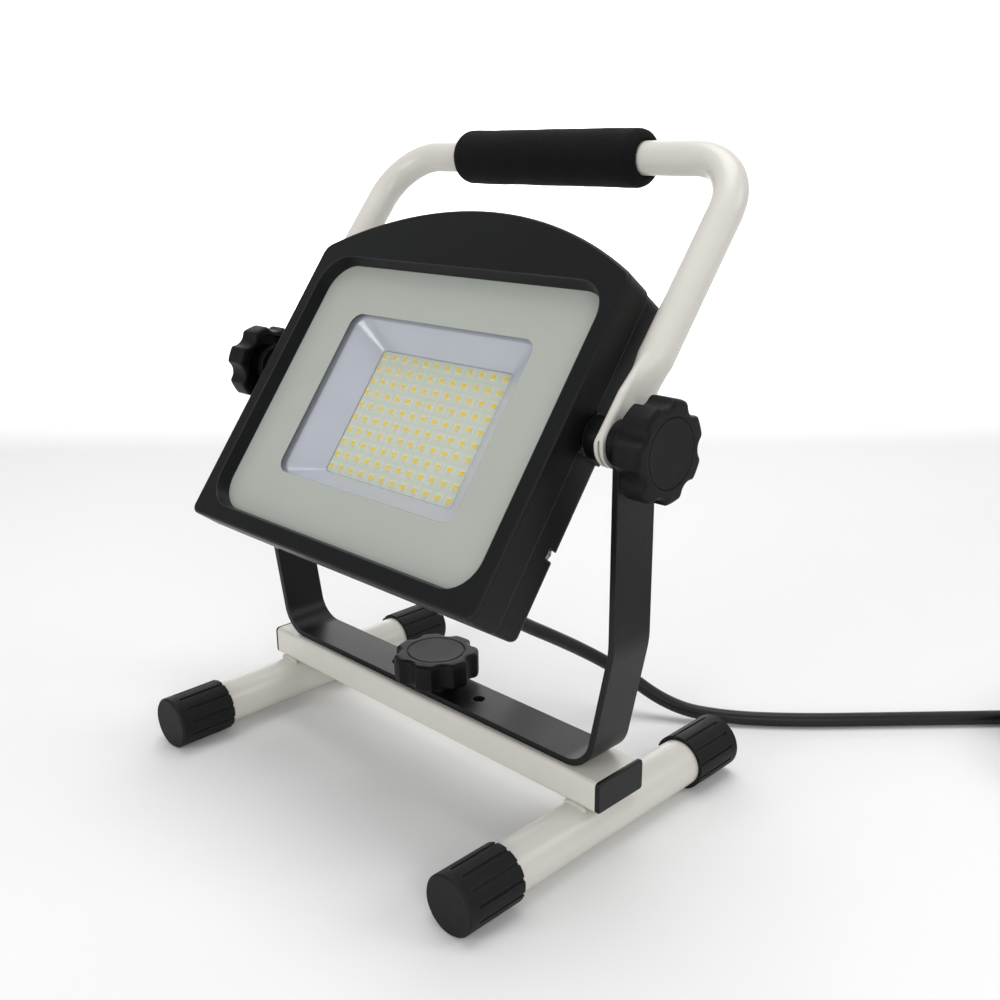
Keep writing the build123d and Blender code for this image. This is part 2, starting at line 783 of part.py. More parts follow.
with BuildPart() as driver_cover:
    with BuildSketch(lamp_plane(cover_top_n)):
        add(cover_outline(0.0, cover_corner))
    extrude(amount=-cover_depth)
    rear = driver_cover.faces().sort_by(Axis((0, 0, 0), lamp_plane(0).z_dir))[0]
    fillet(rear.edges(), 3.0)
    with BuildSketch(lamp_plane(cover_top_n)):
        add(cover_outline(cover_wall, cover_corner - cover_wall))
    extrude(amount=-cover_depth + cover_wall, mode=Mode.SUBTRACT)
    with BuildSketch(lamp_plane(cover_top_n)):
        with Locations(*cover_screws):
            Circle(cover_boss)
    extrude(amount=-cover_depth + cover_wall)
    with BuildSketch(lamp_plane(cover_top_n)):
        with Locations(*cover_screws):
            Circle(screw_d / 2 + 0.2)
    extrude(amount=-cover_depth, mode=Mode.SUBTRACT)
    with BuildSketch(lamp_plane(cover_back_n)):
        with Locations((gland_x, gland_v)):
            Circle(gland_nut_d / 2 - 2.0)
    extrude(amount=cover_wall, mode=Mode.SUBTRACT)
save(driver_cover, "driver_cover")

with BuildPart() as cover_screw_set:
    with BuildSketch(lamp_plane(cover_back_n)):
        with Locations(*cover_screws):
            Circle(screw_head_d / 2)
    extrude(amount=-screw_head)
    with BuildSketch(lamp_plane(cover_back_n)):
        with Locations(*cover_screws):
            Circle(screw_d / 2)
    extrude(amount=cover_depth)
save(cover_screw_set, "driver_cover_screws")

with BuildPart() as driver_module:
    with BuildSketch(lamp_plane(cover_top_n - 2.0)):
        with Locations((0, cover_v + 8.0)):
            RectangleRounded(cover_width - 24.0, cover_height - 26.0, 2.0)
    extrude(amount=-(cover_depth - cover_wall - 4.0))
save(driver_module, "driver_module")

# ---------------------------------------------------------------- cable gland and lead
gland_out_n = cover_back_n - gland_flange
nut_out_n = gland_out_n - gland_nut
relief_end_n = nut_out_n - relief_length
with BuildPart() as gland_body:
    with BuildSketch(lamp_plane(cover_back_n)):
        with Locations((gland_x, gland_v)):
            RegularPolygon(gland_d / 2, 6)
    extrude(amount=-gland_flange)
    with BuildSketch(lamp_plane(cover_back_n)):
        with Locations((gland_x, gland_v)):
            Circle(gland_nut_d / 2 - 2.2)
    extrude(amount=cover_wall + 3.0)
    with BuildSketch(lamp_plane(gland_out_n)):
        with Locations((gland_x, gland_v)):
            Circle(cord_d / 2)
    extrude(amount=20.0, mode=Mode.SUBTRACT)
save(gland_body, "gland_body")

with BuildPart() as gland_nut_part:
    with BuildSketch(lamp_plane(gland_out_n)):
        with Locations((gland_x, gland_v)):
            RegularPolygon(gland_nut_d / 2, 6)
    extrude(amount=-gland_nut)
    tip = gland_nut_part.faces().sort_by(Axis((0, 0, 0), lamp_plane(0).z_dir))[0]
    chamfer(tip.edges(), 1.2)
    with BuildSketch(lamp_plane(nut_out_n)):
        with Locations((gland_x, gland_v)):
            Circle(cord_d / 2)
    extrude(amount=gland_nut, mode=Mode.SUBTRACT)
save(gland_nut_part, "gland_nut")

with BuildPart() as strain_relief:
    with BuildSketch(lamp_plane(nut_out_n)):
        with Locations((gland_x, gland_v)):
            Circle(relief_d / 2)
    with BuildSketch(lamp_plane(relief_end_n)):
        with Locations((gland_x, gland_v)):
            Circle(cord_d / 2 + 0.9)
    loft()
save(strain_relief, "cord_strain_relief")

cord_r = cord_d / 2
cord_floor_z = cord_r + 0.2
first_run = 27.8
relief_tip = lamp_plane(relief_end_n).from_local_coords((gland_x, gland_v, 0))
relief_lead = lamp_plane(relief_end_n - first_run).from_local_coords((gland_x, gland_v, 0))
# Points of the lead's route, chosen by hand: out of the strain relief, down to the floor
# behind the stand, round the rear right foot and away to the right. The two tubes meet part
# way down the straight run between the first two of these points.
descent_top = Vector(23.6, 58.0, 52.9)
descent_foot = Vector(30.2, 98.0, 26.4)
joint_point = descent_top + (descent_foot - descent_top) * 0.2
upper_route = [relief_tip, relief_lead, descent_top, joint_point]
lower_route = [
    joint_point,
    descent_foot,
    Vector(61.0, 109.5, 7.2),
    Vector(86.0, 126.0, cord_floor_z),
    Vector(115.0, 150.0, cord_floor_z),
    Vector(150.0, 186.0, cord_floor_z),
    Vector(187.0, 224.0, cord_floor_z),
    Vector(214.0, 253.0, cord_floor_z),
]


def lead_tube(route, label):
    """A tube along straight runs that are joined by the largest arcs their lengths allow."""
    runs = [b - a for a, b in zip(route, route[1:])]
    radii = []
    for before, after in zip(runs, runs[1:]):
        half_turn = math.radians(before.get_angle(after)) / 2
        radii.append(0.45 * min(before.length, after.length) / math.tan(half_turn))
    with BuildPart() as tube:
        with BuildLine() as line:
            FilletPolyline(*route, radius=radii)
        with BuildSketch(Plane(origin=route[0], z_dir=runs[0])):
            Circle(cord_r)
        sweep()
    length = line.wire().length
    filled = tube.part.volume / (math.pi * cord_r**2 * length)
    print(label, "radii", [round(r) for r in radii], "length", round(length, 1))
    print(label, "volume over section times length", round(filled, 5))
    save(tube, label)
    return length


lead_length = lead_tube(upper_route, "power_cord_upper")
lead_length += lead_tube(lower_route, "power_cord_lower")

# The rest of the lead lies wound beside the stand. The route's last run touches the outer
# turn, which winds clockwise seen from above.
coil_start = lower_route[-1]
coil_heading = (coil_start - lower_route[-2]).normalized()
coil_inward = Vector(coil_heading.Y, -coil_heading.X, 0)
coil_centre = coil_start + coil_inward * coil_turn_out
coil_top_z = cord_floor_z - cord_r + coil_layers * cord_d
tail_turn = 100.0  # degrees round the coil, past the start, where the lead leaves it
tail_from = (-coil_inward).rotate(Axis.Z, -tail_turn)
tail_heading = Vector(tail_from.Y, -tail_from.X, 0)
tail_z = coil_top_z - cord_r
tail_start = coil_centre + tail_from * coil_turn_out
tail_start = Vector(tail_start.X, tail_start.Y, tail_z)
entry_plane = Plane(origin=coil_start, z_dir=-coil_heading)
exit_plane = Plane(origin=tail_start, z_dir=tail_heading)
with BuildPart() as coil:
    with BuildSketch(Plane.XY.offset(cord_floor_z - cord_r)):
        with Locations((coil_centre.X, coil_centre.Y)):
            Circle(coil_turn_out + cord_r)
            Circle(coil_turn_out - cord_d - cord_r, mode=Mode.SUBTRACT)
    extrude(amount=coil_layers * cord_d)
    fillet(coil.edges().filter_by(GeomType.CIRCLE), cord_r * 0.8)
    with BuildSketch(entry_plane):
        Circle(cord_r + 0.25)
    extrude(amount=2 * coil_turn_out, mode=Mode.SUBTRACT)
    with BuildSketch(exit_plane):
        Circle(cord_r + 0.25)
    extrude(amount=2 * coil_turn_out, mode=Mode.SUBTRACT)
save(coil, "power_cord_coil")

# Tail: off the top of the coil, down to the floor and into the plug
tail_side = Vector(-tail_heading.Y, tail_heading.X, 0)
plug_axis_z = plug_d / 2 + 0.2
tail_dip = 9.0  # height of the sag between the coil and the plug
tail_route = [
    tail_start,
    tail_start + tail_heading * 26.0,
    tail_start + tail_heading * 56.0 + tail_side * 8.0 + Vector(0, 0, tail_dip - tail_z),
    tail_start + tail_heading * 84.0 + tail_side * 27.0 + Vector(0, 0, plug_axis_z - tail_z),
    tail_start + tail_heading * 95.0 + tail_side * 50.0 + Vector(0, 0, plug_axis_z - tail_z),
]
lead_length += lead_tube(tail_route, "power_cord_tail")
plug_heading = (tail_route[-1] - tail_route[-2]).normalized()
coil_turns = coil_whole_turns + tail_turn / 360
coil_length = coil_turns * 2 * math.pi * (coil_turn_out - cord_d / 2)
print("lead outside the coil", round(lead_length), "in the coil", round(coil_length))

plug_rear = Plane(origin=tail_route[-1], x_dir=(0, 0, 1), z_dir=plug_heading)
boot_length = 22.0
with BuildPart() as plug_body:
    with BuildSketch(plug_rear):
        Circle(cord_r + 1.3)
    with BuildSketch(plug_rear.offset(boot_length)):
        Circle(plug_d * 0.26)
    loft()
    with BuildSketch(plug_rear.offset(boot_length)):
        Circle(plug_d * 0.26)
    with BuildSketch(plug_rear.offset(boot_length + plug_length * 0.4)):
        Circle(plug_d / 2)
    loft()
    with BuildSketch(plug_rear.offset(boot_length + plug_length * 0.4)):
        Circle(plug_d / 2)
    extrude(amount=plug_length * 0.6)
    with BuildSketch(plug_rear.offset(boot_length + plug_length - 8.0)):
        with Locations((0, pin_spacing / 2), (0, -pin_spacing / 2)):
            Circle(pin_d / 2)
    extrude(amount=8.0, mode=Mode.SUBTRACT)
save(plug_body, "plug_body")

with BuildPart() as plug_pins:
    with BuildSketch(plug_rear.offset(boot_length + plug_length - 8.0)):
        with Locations((0, pin_spacing / 2), (0, -pin_spacing / 2)):
            Circle(pin_d / 2)
    extrude(amount=pin_length + 8.0)
save(plug_pins, "plug_pins")
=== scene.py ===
"""Looks of a portable LED work light: finishes, detailed pieces, lead, lights and camera."""
import json
import logging
import math
from dataclasses import dataclass
from enum import Enum
from typing import Any, Callable, Iterable, Optional, Sequence

import bmesh
import bpy
from mathutils import Matrix, Vector, noise


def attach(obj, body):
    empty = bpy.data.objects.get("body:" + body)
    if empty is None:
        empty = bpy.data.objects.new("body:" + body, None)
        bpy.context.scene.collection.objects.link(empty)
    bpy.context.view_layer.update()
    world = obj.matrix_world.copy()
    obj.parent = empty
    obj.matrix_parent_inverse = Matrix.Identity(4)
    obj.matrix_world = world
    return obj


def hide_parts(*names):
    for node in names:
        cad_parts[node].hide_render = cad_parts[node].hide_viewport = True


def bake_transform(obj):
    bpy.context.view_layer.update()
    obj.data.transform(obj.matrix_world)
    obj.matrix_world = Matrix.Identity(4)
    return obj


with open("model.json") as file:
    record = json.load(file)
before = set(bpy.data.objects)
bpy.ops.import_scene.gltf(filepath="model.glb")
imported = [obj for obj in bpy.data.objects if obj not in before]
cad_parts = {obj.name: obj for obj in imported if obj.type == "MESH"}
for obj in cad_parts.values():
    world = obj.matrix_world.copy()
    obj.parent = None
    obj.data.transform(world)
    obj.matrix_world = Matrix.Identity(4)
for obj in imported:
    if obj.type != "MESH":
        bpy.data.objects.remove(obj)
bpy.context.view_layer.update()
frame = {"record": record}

logging.basicConfig(level=logging.INFO, format="%(message)s")
log = logging.getLogger("work_light")

Socket = bpy.types.NodeSocket
Tree = bpy.types.NodeTree
Material = bpy.types.Material
Piece = bpy.types.Object

MM = 0.001
PIVOT_Z = 181.0
# The swivel bolt's place along Y: the pivot line stands over it
BOLT_Y = next(joint["pos_m"][1] for joint in frame["record"]["behaviour"]["joints"]
              if joint["name"] == "lamp_tilt") / MM
LAMP_TILT = math.radians(36.7)
HANDLE_TILT = math.radians(38.7)
# The LED grid: its spacing across and up the board, and where its middle lies
LED_PITCH_X = 7.38
LED_PITCH_V = 6.49
LED_GRID_V = -13.2


# ------------------------------------------------------------------ small helpers
def stand_point(x: float, y: float, z: float) -> Vector:
    """A point measured from the swivel bolt's axis, in millimetres, as scene metres.

    Args:
        x: along the crossbar.
        y: backwards.
        z: up from the floor.

    Returns:
        The point.
    """
    return Vector((x, y + BOLT_Y, z)) * MM


def linear(colour: str) -> tuple[float, float, float, float]:
    """Turns an sRGB hex colour such as "#A0B0C0" into linear RGBA.

    Args:
        colour: the hex string.

    Returns:
        Red, green, blue and alpha.
    """
    channels = [int(colour[i:i + 2], 16) / 255 for i in (1, 3, 5)]
    values = [c / 12.92 if c <= 0.04045 else ((c + 0.055) / 1.055) ** 2.4 for c in channels]
    return (values[0], values[1], values[2], 1.0)


def add_node(tree: Tree, kind: str, inputs: Optional[dict] = None, **settings: Any
             ) -> bpy.types.Node:
    """Adds a node with its settings, values and links.

    Args:
        tree: the node tree.
        kind: the node's type name.
        inputs: socket name or index to a value or to another node's output socket.
        settings: attributes set on the node first.

    Returns:
        The new node.
    """
    node = tree.nodes.new(kind)
    for name, value in settings.items():
        setattr(node, name, value)
    for key, value in (inputs or {}).items():
        if isinstance(value, Socket):
            tree.links.new(value, node.inputs[key])
        else:
            node.inputs[key].default_value = value
    return node


def maths(tree: Tree, operation: str, *values: Any) -> Socket:
    """Adds one Math node and gives its result socket.

    Args:
        tree: the node tree.
        operation: the Math node's operation.
        values: numbers or sockets, in order.

    Returns:
        The output socket.
    """
    return add_node(tree, "ShaderNodeMath", dict(enumerate(values)), operation=operation).outputs[0]


def mesh_object(name: str, verts: Sequence, faces: Sequence, smooth: bool = True) -> Piece:
    """Makes a mesh object at the origin from points in metres.

    Args:
        name: the piece's name.
        verts: the points.
        faces: vertex indices of each face.
        smooth: whether faces are shaded smooth, with sharp edges over 35 degrees.

    Returns:
        The object, linked to the scene.
    """
    mesh = bpy.data.meshes.new(name)
    mesh.from_pydata([tuple(v) for v in verts], [], [tuple(f) for f in faces])
    return finish_mesh(name, mesh, smooth)


def finish_mesh(name: str, mesh: bpy.types.Mesh, smooth: bool = True) -> Piece:
    """Cleans a mesh, points its faces outwards and links it as an object.

    Args:
        name: the piece's name.
        mesh: the mesh.
        smooth: whether faces are shaded smooth, with sharp edges over 35 degrees.

    Returns:
        The object.
    """
    work = bmesh.new()
    work.from_mesh(mesh)
    bmesh.ops.remove_doubles(work, verts=work.verts, dist=2e-6)
    bmesh.ops.recalc_face_normals(work, faces=work.faces)
    for face in work.faces:
        face.smooth = smooth
    for edge in work.edges:
        edge.smooth = len(edge.link_faces) == 2 and edge.calc_face_angle(0) < math.radians(35)
    work.to_mesh(mesh)
    work.free()
    obj = bpy.data.objects.new(name, mesh)
    bpy.context.collection.objects.link(obj)
    return obj


def lamp_point(x: float, v: float, n: float) -> Vector:
    """A point given in the lamp's own directions, in millimetres, as scene metres.

    Args:
        x: across the lamp.
        v: up the lamp's face from the pivot line.
        n: out of the lamp's face.

    Returns:
        The point.
    """
    s, c = math.sin(LAMP_TILT), math.cos(LAMP_TILT)
    return stand_point(x, v * s - n * c, PIVOT_Z + v * c + n * s)


def lamp_matrix(x: float, v: float, n: float, flip: bool = False) -> Matrix:
    """The placing of a piece whose local Z leaves the lamp's face (or its back, if flipped).

    Args:
        x: across the lamp.
        v: up the lamp's face.
        n: out of the lamp's face.
        flip: whether local Z points out of the back.

    Returns:
        A 4x4 matrix.
    """
    s, c = math.sin(LAMP_TILT), math.cos(LAMP_TILT)
    side = -1.0 if flip else 1.0
    out = Vector((0, -c, s)) * side
    across = Vector((side, 0, 0))
    turn = Matrix((across, out.cross(across), out)).transposed().to_4x4()
    return Matrix.Translation(lamp_point(x, v, n)) @ turn


def skin(rows: int, around: int, closed: bool = False) -> list[tuple[int, ...]]:
    """Faces over rings of points that lie one after another.

    Args:
        rows: number of rings.
        around: points in each ring.
        closed: whether the last ring joins the first, instead of flat ends.

    Returns:
        Vertex indices of each face.
    """
    faces = []
    for i in range(rows if closed else rows - 1):
        low, high = i * around, (i + 1) % rows * around
        for j in range(around):
            k = (j + 1) % around
            faces.append((low + j, low + k, high + k, high + j))
    if not closed:
        faces.append(tuple(range(around - 1, -1, -1)))
        faces.append(tuple(range((rows - 1) * around, rows * around)))
    return faces


def lathe(profile: Sequence[tuple[float, float]], place: Matrix, around: int,
          radius_at: Optional[Callable[[float, float, float], float]] = None,
          closed: bool = False) -> tuple[list, list]:
    """Turns a profile round local Z.

    Args:
        profile: (radius, height) pairs in millimetres.
        place: where the local axes go.
        around: number of steps round the axis.
        radius_at: gives the radius from profile radius, angle and height.
        closed: whether the profile's last point joins its first, instead of flat ends.

    Returns:
        Points in metres, and faces.
    """
    verts = []
    for radius, height in profile:
        for j in range(around):
            angle = 2 * math.pi * j / around
            r = radius_at(radius, angle, height) if radius_at else radius
            verts.append(place @ (Vector((r * math.cos(angle), r * math.sin(angle), height)) * MM))
    return verts, skin(len(profile), around, closed)


def arc(middle: tuple[float, float], radius: float, start: float, steps: int
        ) -> list[tuple[float, float]]:
    """A quarter turn in a profile.

    Args:
        middle: the arc's centre, as radius and height.
        radius: the arc's own radius.
        start: its first angle, in degrees from straight out.
        steps: number of steps.

    Returns:
        (radius, height) pairs.
    """
    angles = [math.radians(start + 90 * i / steps) for i in range(steps + 1)]
    return [(middle[0] + radius * math.cos(a), middle[1] + radius * math.sin(a)) for a in angles]


# ------------------------------------------------------------------ finishes
def new_material(name: str) -> tuple[Material, Tree]:
    """Makes a material with an empty node tree.

    Args:
        name: its name.

    Returns:
        The material and its tree.
    """
    made = bpy.data.materials.new(name)
    made.use_nodes = True
    made.node_tree.nodes.clear()
    return made, made.node_tree


def mix_colours(tree: Tree, factor: Socket, *colours: Any) -> Socket:
    """Mixes two colours, each an sRGB hex string or a socket.

    Args:
        tree: the material's tree.
        factor: how much of the second one shows.
        colours: the two colours.

    Returns:
        The mixed colour.
    """
    first, second = (linear(c) if isinstance(c, str) else c for c in colours)
    return add_node(tree, "ShaderNodeMix", {"Factor": factor, 6: first, 7: second},
                    data_type="RGBA").outputs[2]


class Grain(Enum):
    """How a surface's fine relief was made."""

    ORANGE_PEEL = "powder or spray paint that flowed before it set"
    SPARK = "moulded against a spark-eroded tool"
    CELLS = "closed foam cells"
    BRUSHED = "drawn or ground in one direction"
    PLAIN = "smooth"


@dataclass(frozen=True)
class Finish:
    """One surface finish.

    Colours are sRGB hex, sizes are millimetres.
    """

    name: str
    colour: str
    second: str
    roughness: float
    spread: float = 0.06
    metallic: float = 0.0
    ior: float = 1.5
    grain: Grain = Grain.PLAIN
    grain_mm: float = 0.6
    relief: float = 0.15
    patch_mm: float = 25.0
    edge_mm: float = 0.35
    # Colour mixed in along the edges and how strongly: partly wear, partly painted light; on the
    # dark finishes it is a painted highlight.
    edge_wear_and_painted_light_colour: str = ""
    edge_wear_and_painted_light_share: float = 0.0
    coat: float = 0.0

    def material(self) -> Material:
        """Builds the finish's material, or gives the one already built."""
        known = bpy.data.materials.get(self.name)
        if known:
            return known
        made, tree = new_material(self.name)
        where = add_node(tree, "ShaderNodeTexCoord").outputs["Object"]
        colour, patches = self.base_colour(tree, where)
        fine = self.fine_relief(tree, where)
        rounded = add_node(tree, "ShaderNodeBevel", {"Radius": self.edge_mm * MM}, samples=4)
        bump = add_node(tree, "ShaderNodeBump", {
            "Height": fine, "Strength": self.relief, "Distance": self.grain_mm * MM * 0.5,
            "Normal": rounded.outputs["Normal"]})
        rough = add_node(tree, "ShaderNodeMapRange", {
            "Value": patches, "To Min": self.roughness - self.spread,
            "To Max": self.roughness + self.spread}).outputs[0]
        shader = add_node(tree, "ShaderNodeBsdfPrincipled", {
            "Base Color": colour, "Roughness": rough, "Metallic": self.metallic,
            "IOR": self.ior, "Coat Weight": self.coat, "Coat Roughness": 0.12,
            "Normal": bump.outputs[0]})
        add_node(tree, "ShaderNodeOutputMaterial", {"Surface": shader.outputs[0]})
        return made

    def base_colour(self, tree: Tree, where: Socket) -> tuple[Socket, Socket]:
        """Mixes the two colours in soft patches and mixes the edge colour in along edges: wear, and
        on dark finishes a painted highlight.

        Args:
            tree: the material's tree.
            where: Object coordinates.

        Returns:
            The colour and the patch mask.
        """
        patches = add_node(tree, "ShaderNodeTexNoise", {
            "Vector": where, "Scale": 1 / (self.patch_mm * MM), "Detail": 5.0,
            "Roughness": 0.6}).outputs["Fac"]
        mixed = mix_colours(tree, patches, self.colour, self.second)
        if not self.edge_wear_and_painted_light_share:
            return mixed, patches
        # Edge mask: where the rounded normal leaves the true one, the edge colour is mixed in,
        # broken by the patches; a painted highlight on dark finishes, partly wear.
        soft = add_node(tree, "ShaderNodeBevel", {"Radius": self.edge_mm * MM * 1.6}, samples=4)
        sharp = add_node(tree, "ShaderNodeNewGeometry").outputs["Normal"]
        close = add_node(tree, "ShaderNodeVectorMath", {0: soft.outputs[0], 1: sharp},
                         operation="DOT_PRODUCT").outputs["Value"]
        edge = add_node(tree, "ShaderNodeMapRange", {
            "Value": close, "From Min": 0.99, "From Max": 0.80}).outputs[0]
        worn_and_painted_light_edges = maths(tree, "MULTIPLY", edge, maths(tree, "MULTIPLY", patches, self.edge_wear_and_painted_light_share))
        return mix_colours(tree, worn_and_painted_light_edges, mixed, self.edge_wear_and_painted_light_colour), patches

    def fine_relief(self, tree: Tree, where: Socket) -> Socket:
        """The height pattern of the finish's grain.

        Args:
            tree: the material's tree.
            where: Object coordinates.

        Returns:
            The height socket.
        """
        scale = 1 / (self.grain_mm * MM)
        if self.grain is Grain.CELLS:
            return add_node(tree, "ShaderNodeTexVoronoi", {
                "Vector": where, "Scale": scale, "Randomness": 1.0},
                feature="SMOOTH_F1").outputs["Distance"]
        if self.grain is Grain.BRUSHED:
            drawn = add_node(tree, "ShaderNodeMapping", {
                "Vector": where, "Scale": (scale, scale * 0.04, scale)}).outputs[0]
            return add_node(tree, "ShaderNodeTexNoise", {"Vector": drawn, "Scale": 1.0,
                                                         "Detail": 3.0}).outputs["Fac"]
        detail = {Grain.ORANGE_PEEL: 1.0, Grain.SPARK: 6.0, Grain.PLAIN: 2.0}[self.grain]
        return add_node(tree, "ShaderNodeTexNoise", {
            "Vector": where, "Scale": scale, "Detail": detail}).outputs["Fac"]


# Epoxy-polyester powder coat, warm off-white: soft gloss over a faint orange peel.
WHITE_POWDER = Finish("powder_coat_warm_white", "#D6D3CB", "#CECBC2", 0.36, 0.05,
                      grain=Grain.ORANGE_PEEL, grain_mm=1.3, relief=0.10, edge_mm=0.5,
                      edge_wear_and_painted_light_colour="#8F8A80", edge_wear_and_painted_light_share=0.25, coat=0.15)
# Weld metal under the same powder: rippled, a little dull.
WELD_POWDER = Finish("powder_coat_over_weld", "#CFCEC4", "#B4B2A6", 0.45, 0.10,
                     grain=Grain.ORANGE_PEEL, grain_mm=0.8, relief=0.55, patch_mm=2.0)
# Black satin powder coat on bent steel strip: broad soft highlights; its pale edges are a painted
# highlight.
BLACK_POWDER = Finish("powder_coat_satin_black", "#070809", "#0B0C0D", 0.38, 0.06, ior=1.33,
                      grain=Grain.ORANGE_PEEL, grain_mm=0.9, relief=0.16, edge_mm=0.5,
                      edge_wear_and_painted_light_colour="#5A5A5A", edge_wear_and_painted_light_share=0.35, patch_mm=40.0)
# Sprayed die-cast aluminium: fine sand texture with a low sheen; its pale edges are a painted
# highlight along the edge lines.
CAST_PAINT = Finish("die_cast_black_paint", "#060708", "#0A0B0C", 0.42, 0.07, ior=1.32,
                    grain=Grain.SPARK, grain_mm=0.55, relief=0.22, edge_mm=0.6,
                    edge_wear_and_painted_light_colour="#8A8C8E", edge_wear_and_painted_light_share=0.5, patch_mm=45.0)
# Glass-filled nylon, moulded: matt grey-black with a fine spark grain.
NYLON = Finish("glass_filled_nylon_black", "#050506", "#09090B", 0.50, 0.08, ior=1.28,
               grain=Grain.SPARK, grain_mm=0.45, relief=0.25, edge_mm=0.8,
               edge_wear_and_painted_light_colour="#4A4A4A", edge_wear_and_painted_light_share=0.35, patch_mm=18.0)
# Polyethylene end plug: waxy satin black.
END_PLUG = Finish("polyethylene_black", "#0A0A0B", "#101011", 0.42, 0.06, ior=1.34,
                  grain=Grain.SPARK, grain_mm=0.5, relief=0.18, edge_mm=0.5,
                  edge_wear_and_painted_light_colour="#555555", edge_wear_and_painted_light_share=0.3)
# Moulded rubber foot: matt, paler along all its edges, partly wear and partly a painted highlight.
FOOT_RUBBER = Finish("moulded_rubber_black", "#090A0A", "#101010", 0.60, 0.10, ior=1.32,
                     grain=Grain.SPARK, grain_mm=0.5, relief=0.30, edge_mm=0.5,
                     edge_wear_and_painted_light_colour="#5B5A57", edge_wear_and_painted_light_share=0.5, patch_mm=12.0)
# Nitrile foam sleeve: very matt with closed cells open at the cut surface.
FOAM = Finish("nitrile_foam_black", "#070708", "#0B0B0C", 0.90, 0.06, ior=1.3,
              grain=Grain.CELLS, grain_mm=0.8, relief=0.75, edge_mm=0.2, patch_mm=14.0)
# Chloroprene lead sheath: satin with a faint drawn grain.
SHEATH = Finish("chloroprene_black", "#0A0A0B", "#101011", 0.42, 0.08, ior=1.4,
                grain=Grain.SPARK, grain_mm=0.7, relief=0.20, patch_mm=20.0)
# Silicone seal.
SEAL = Finish("silicone_grey_black", "#222324", "#2B2C2D", 0.55, 0.05, grain_mm=1.0, relief=0.1)
# Zinc-plated steel: pale, slightly blue, drawn.
ZINC = Finish("zinc_plated_steel", "#B9BBBC", "#9FA2A6", 0.32, 0.08, metallic=1.0,
              grain=Grain.BRUSHED, grain_mm=0.25, relief=0.15, patch_mm=6.0)
BRASS = Finish("turned_brass", "#C9A45C", "#B58F4C", 0.30, 0.08, metallic=1.0,
               grain=Grain.BRUSHED, grain_mm=0.25, relief=0.12, patch_mm=6.0)
PIN_METAL = Finish("nickel_plated_brass", "#CFCBC0", "#BDB8AA", 0.22, 0.06, metallic=1.0,
                   grain=Grain.BRUSHED, grain_mm=0.25, relief=0.08, patch_mm=8.0)
# Glossy lavender-grey polystyrene tray round the board.
TRAY = Finish("polystyrene_tray_lavender", "#C6C5D2", "#BCBBC9", 0.16, 0.04, ior=1.55,
              grain=Grain.PLAIN, grain_mm=6.0, relief=0.04, edge_mm=1.2, coat=0.4)
# White ceramic-filled LED package and its phosphor window.
PACKAGE = Finish("polyphthalamide_white", "#EDEBE2", "#E2E0D6", 0.42, 0.05, grain_mm=0.8,
                 relief=0.05, patch_mm=3.0, edge_mm=0.1)
PHOSPHOR = Finish("phosphor_silicone_yellow", "#F3D45A", "#E9C43E", 0.30, 0.05, grain_mm=0.3,
                  relief=0.10, patch_mm=1.2, edge_mm=0.1, coat=0.3)
RESIN = Finish("potting_resin_black", "#1C1D1F", "#242527", 0.35, 0.08, grain_mm=2.0, relief=0.1)


def lamp_coordinates(tree: Tree) -> tuple[Socket, ...]:
    """Gives x, v and n of a shaded point, in metres, in the lamp's own directions.

    Args:
        tree: the material's tree.

    Returns:
        The x, v and n sockets.
    """
    where = add_node(tree, "ShaderNodeTexCoord").outputs["Object"]
    split = add_node(tree, "ShaderNodeSeparateXYZ", {0: where})
    rise = maths(tree, "SUBTRACT", split.outputs[2], PIVOT_Z * MM)
    run = maths(tree, "SUBTRACT", split.outputs[1], BOLT_Y * MM)
    s, c = math.sin(LAMP_TILT), math.cos(LAMP_TILT)
    up = maths(tree, "ADD", maths(tree, "MULTIPLY", rise, c), maths(tree, "MULTIPLY", run, s))
    out = maths(tree, "SUBTRACT", maths(tree, "MULTIPLY", rise, s), maths(tree, "MULTIPLY", run, c))
    return split.outputs[0], up, out


def rounded_box(tree: Tree, x: Socket, v: Socket,
                half_x: float, low: float, high: float, corner: float) -> Socket:
    """Signed distance to a rounded rectangle on the lamp's face.

    Args:
        tree: the material's tree.
        x: across the lamp, metres.
        v: up the lamp, metres.
        half_x: half the width, millimetres.
        low: its lower edge, millimetres.
        high: its upper edge, millimetres.
        corner: its corner radius, millimetres.

    Returns:
        The distance, in millimetres, negative inside.
    """
    mid, half_v = (low + high) / 2, (high - low) / 2
    across = maths(tree, "MULTIPLY", x, 1 / MM)
    up = maths(tree, "SUBTRACT", maths(tree, "MULTIPLY", v, 1 / MM), mid)
    qx = maths(tree, "SUBTRACT", maths(tree, "ABSOLUTE", across), half_x - corner)
    qv = maths(tree, "SUBTRACT", maths(tree, "ABSOLUTE", up), half_v - corner)
    px, pv = maths(tree, "MAXIMUM", qx, 0.0), maths(tree, "MAXIMUM", qv, 0.0)
    far = maths(tree, "SQRT", maths(tree, "ADD", maths(tree, "MULTIPLY", px, px),
                                    maths(tree, "MULTIPLY", pv, pv)))
    inner = maths(tree, "MINIMUM", maths(tree, "MAXIMUM", qx, qv), 0.0)
    return maths(tree, "SUBTRACT", maths(tree, "ADD", far, inner), corner)


